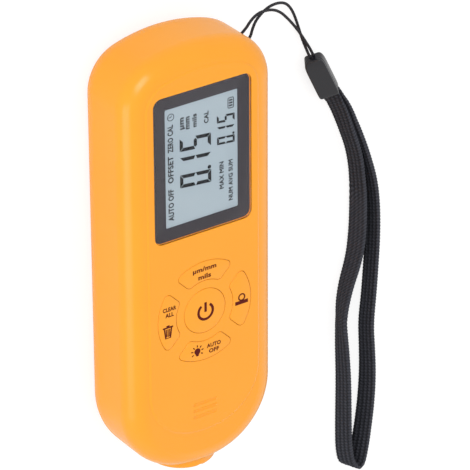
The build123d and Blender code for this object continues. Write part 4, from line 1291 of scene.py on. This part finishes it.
# %% Finish for each solid
finishes = [
    (housing_plastic, "front_cover rear_cover battery_door probe_nose"),
    (key_plastic, "key_power key_units key_clear key_light key_zero"),
    (border_tape, "window_tape"),
    (display_ground, "screen"),
    (milky_guide, "light_guide"),
    (lamp_body, "back_lights"),
    (black_rubber, "rubber_connector"),
    (black_plastic, "screen_bezel main_chip sounder"),
    (green_board, "circuit_board"),
    (bright_metal, "crystal_can switch_domes battery_left battery_right case_screws board_screws"),
    (spring_metal, "contact_bridge contact_positive contact_negative"),
    (spring_metal, "contact_spring_left contact_spring_right probe_spring"),
    (probe_metal, "probe_sleeve probe_pin"),
    (nylon, "probe_clip probe_spool"),
    (copper_wire, "probe_coil"),
]


def dress(piece, material):
    """This piece shows this material and no other."""
    piece.data.materials.clear()
    piece.data.materials.append(material)


for finish, node_names in finishes:
    for node_name in node_names.split():
        dress(nodes[node_name], finish)
dress(webbing, webbing_yarn)
dress(string, string_yarn)
dress(clamp, clamp_plastic)
dress(clear_window, clear_acrylic)
dress(display_figures, display_ink)
for skin in key_skins:
    dress(skin, key_plastic)
for made in legends:
    dress(made, legend_ink)
print("nodes with a finish", sum(len(node_names.split()) for _, node_names in finishes))

# %% [markdown]
# ## Floor, world and lamps
# The picture is on plain white under a very soft light. The world gives that light from
# all sides, one large lamp from the camera's side gives it a direction, two weaker ones
# lift the left side and the far edges, and only rays that go straight to the camera, a
# mirror or a clear part see the world as pure white.

# %% World and floor
white = (1.0, 1.0, 1.0, 1.0)
world_strength = 0.82
floor_half_size = 3.0
floor_height = -0.0002
floor_paint = (0.84, 0.84, 0.84, 1.0)
floor_seen = (0.3, 0.3, 0.3, 1.0)
floor_glow = 0.78


def studio_world():
    """A world of plain white light, seen as white by the camera and in reflections."""
    world = bpy.data.worlds.new("studio")
    world.use_nodes = True
    tree = world.node_tree
    ground = next(n for n in tree.nodes if n.type == "BACKGROUND")
    ray = add_node(tree, "LightPath").outputs
    mirrored = math_node(tree, "MAXIMUM", ray["Is Glossy Ray"], ray["Is Transmission Ray"])
    seen = math_node(tree, "MAXIMUM", ray["Is Camera Ray"], mirrored)
    strength = add_node(tree, "MapRange", {"Value": seen, "To Min": world_strength, "To Max": 1.0})
    feed(ground, {"Color": white, "Strength": strength.outputs["Result"]})
    bpy.context.scene.world = world


def studio_floor(half_size, height):
    """A flat square floor that looks white to the camera and keeps a soft shadow.

    Light that bounces finds it pale. A camera ray finds a darker floor that glows, so the
    shadow is lighter and the gauge's colour hardly shows on it.
    """
    corners = half_size * np.array([(-1, -1), (1, -1), (1, 1), (-1, 1)])
    points = np.column_stack([corners, np.full(4, height)])
    floor = mesh_object("studio_floor", points, [(0, 1, 2, 3)], smooth=False)
    material, tree, shader = new_material("white_floor")
    ray = add_node(tree, "LightPath").outputs["Is Camera Ray"]
    paint = add_node(
        tree, "Mix", {"A": floor_paint, "B": floor_seen, "Factor": ray}, data_type="RGBA"
    )
    glow = math_node(tree, "MULTIPLY", ray, floor_glow)
    feed(shader, {
        "Base Color": paint.outputs["Result"], "Roughness": 0.9, "Specular IOR Level": 0.0,
        "Emission Color": white, "Emission Strength": glow,
    })
    dress(floor, material)


studio_world()
studio_floor(floor_half_size, floor_height)
print("world strength", world_strength, "floor at", floor_height)

# %% Lamps
def area_lamp(name, place, size, power):
    """A square lamp at a place, facing the origin (metres, watts)."""
    data = bpy.data.lights.new(name, "AREA")
    data.size = size
    data.energy = power
    lamp = bpy.data.objects.new(name, data)
    lamp.location = place
    lamp.rotation_mode = "QUATERNION"
    lamp.rotation_quaternion = (-Vector(place)).to_track_quat("-Z", "Y")
    bpy.context.scene.collection.objects.link(lamp)


area_lamp("soft_key", place=(-0.55, 0.75, 0.85), size=0.6, power=4.4)
area_lamp("side_fill", place=(-0.9, -0.25, 0.35), size=0.6, power=2.0)
area_lamp("edge_light", place=(0.8, -0.7, 0.35), size=0.9, power=1.1)
bpy.context.scene.view_settings.view_transform = "Standard"
print("lamps", len(bpy.data.lights))
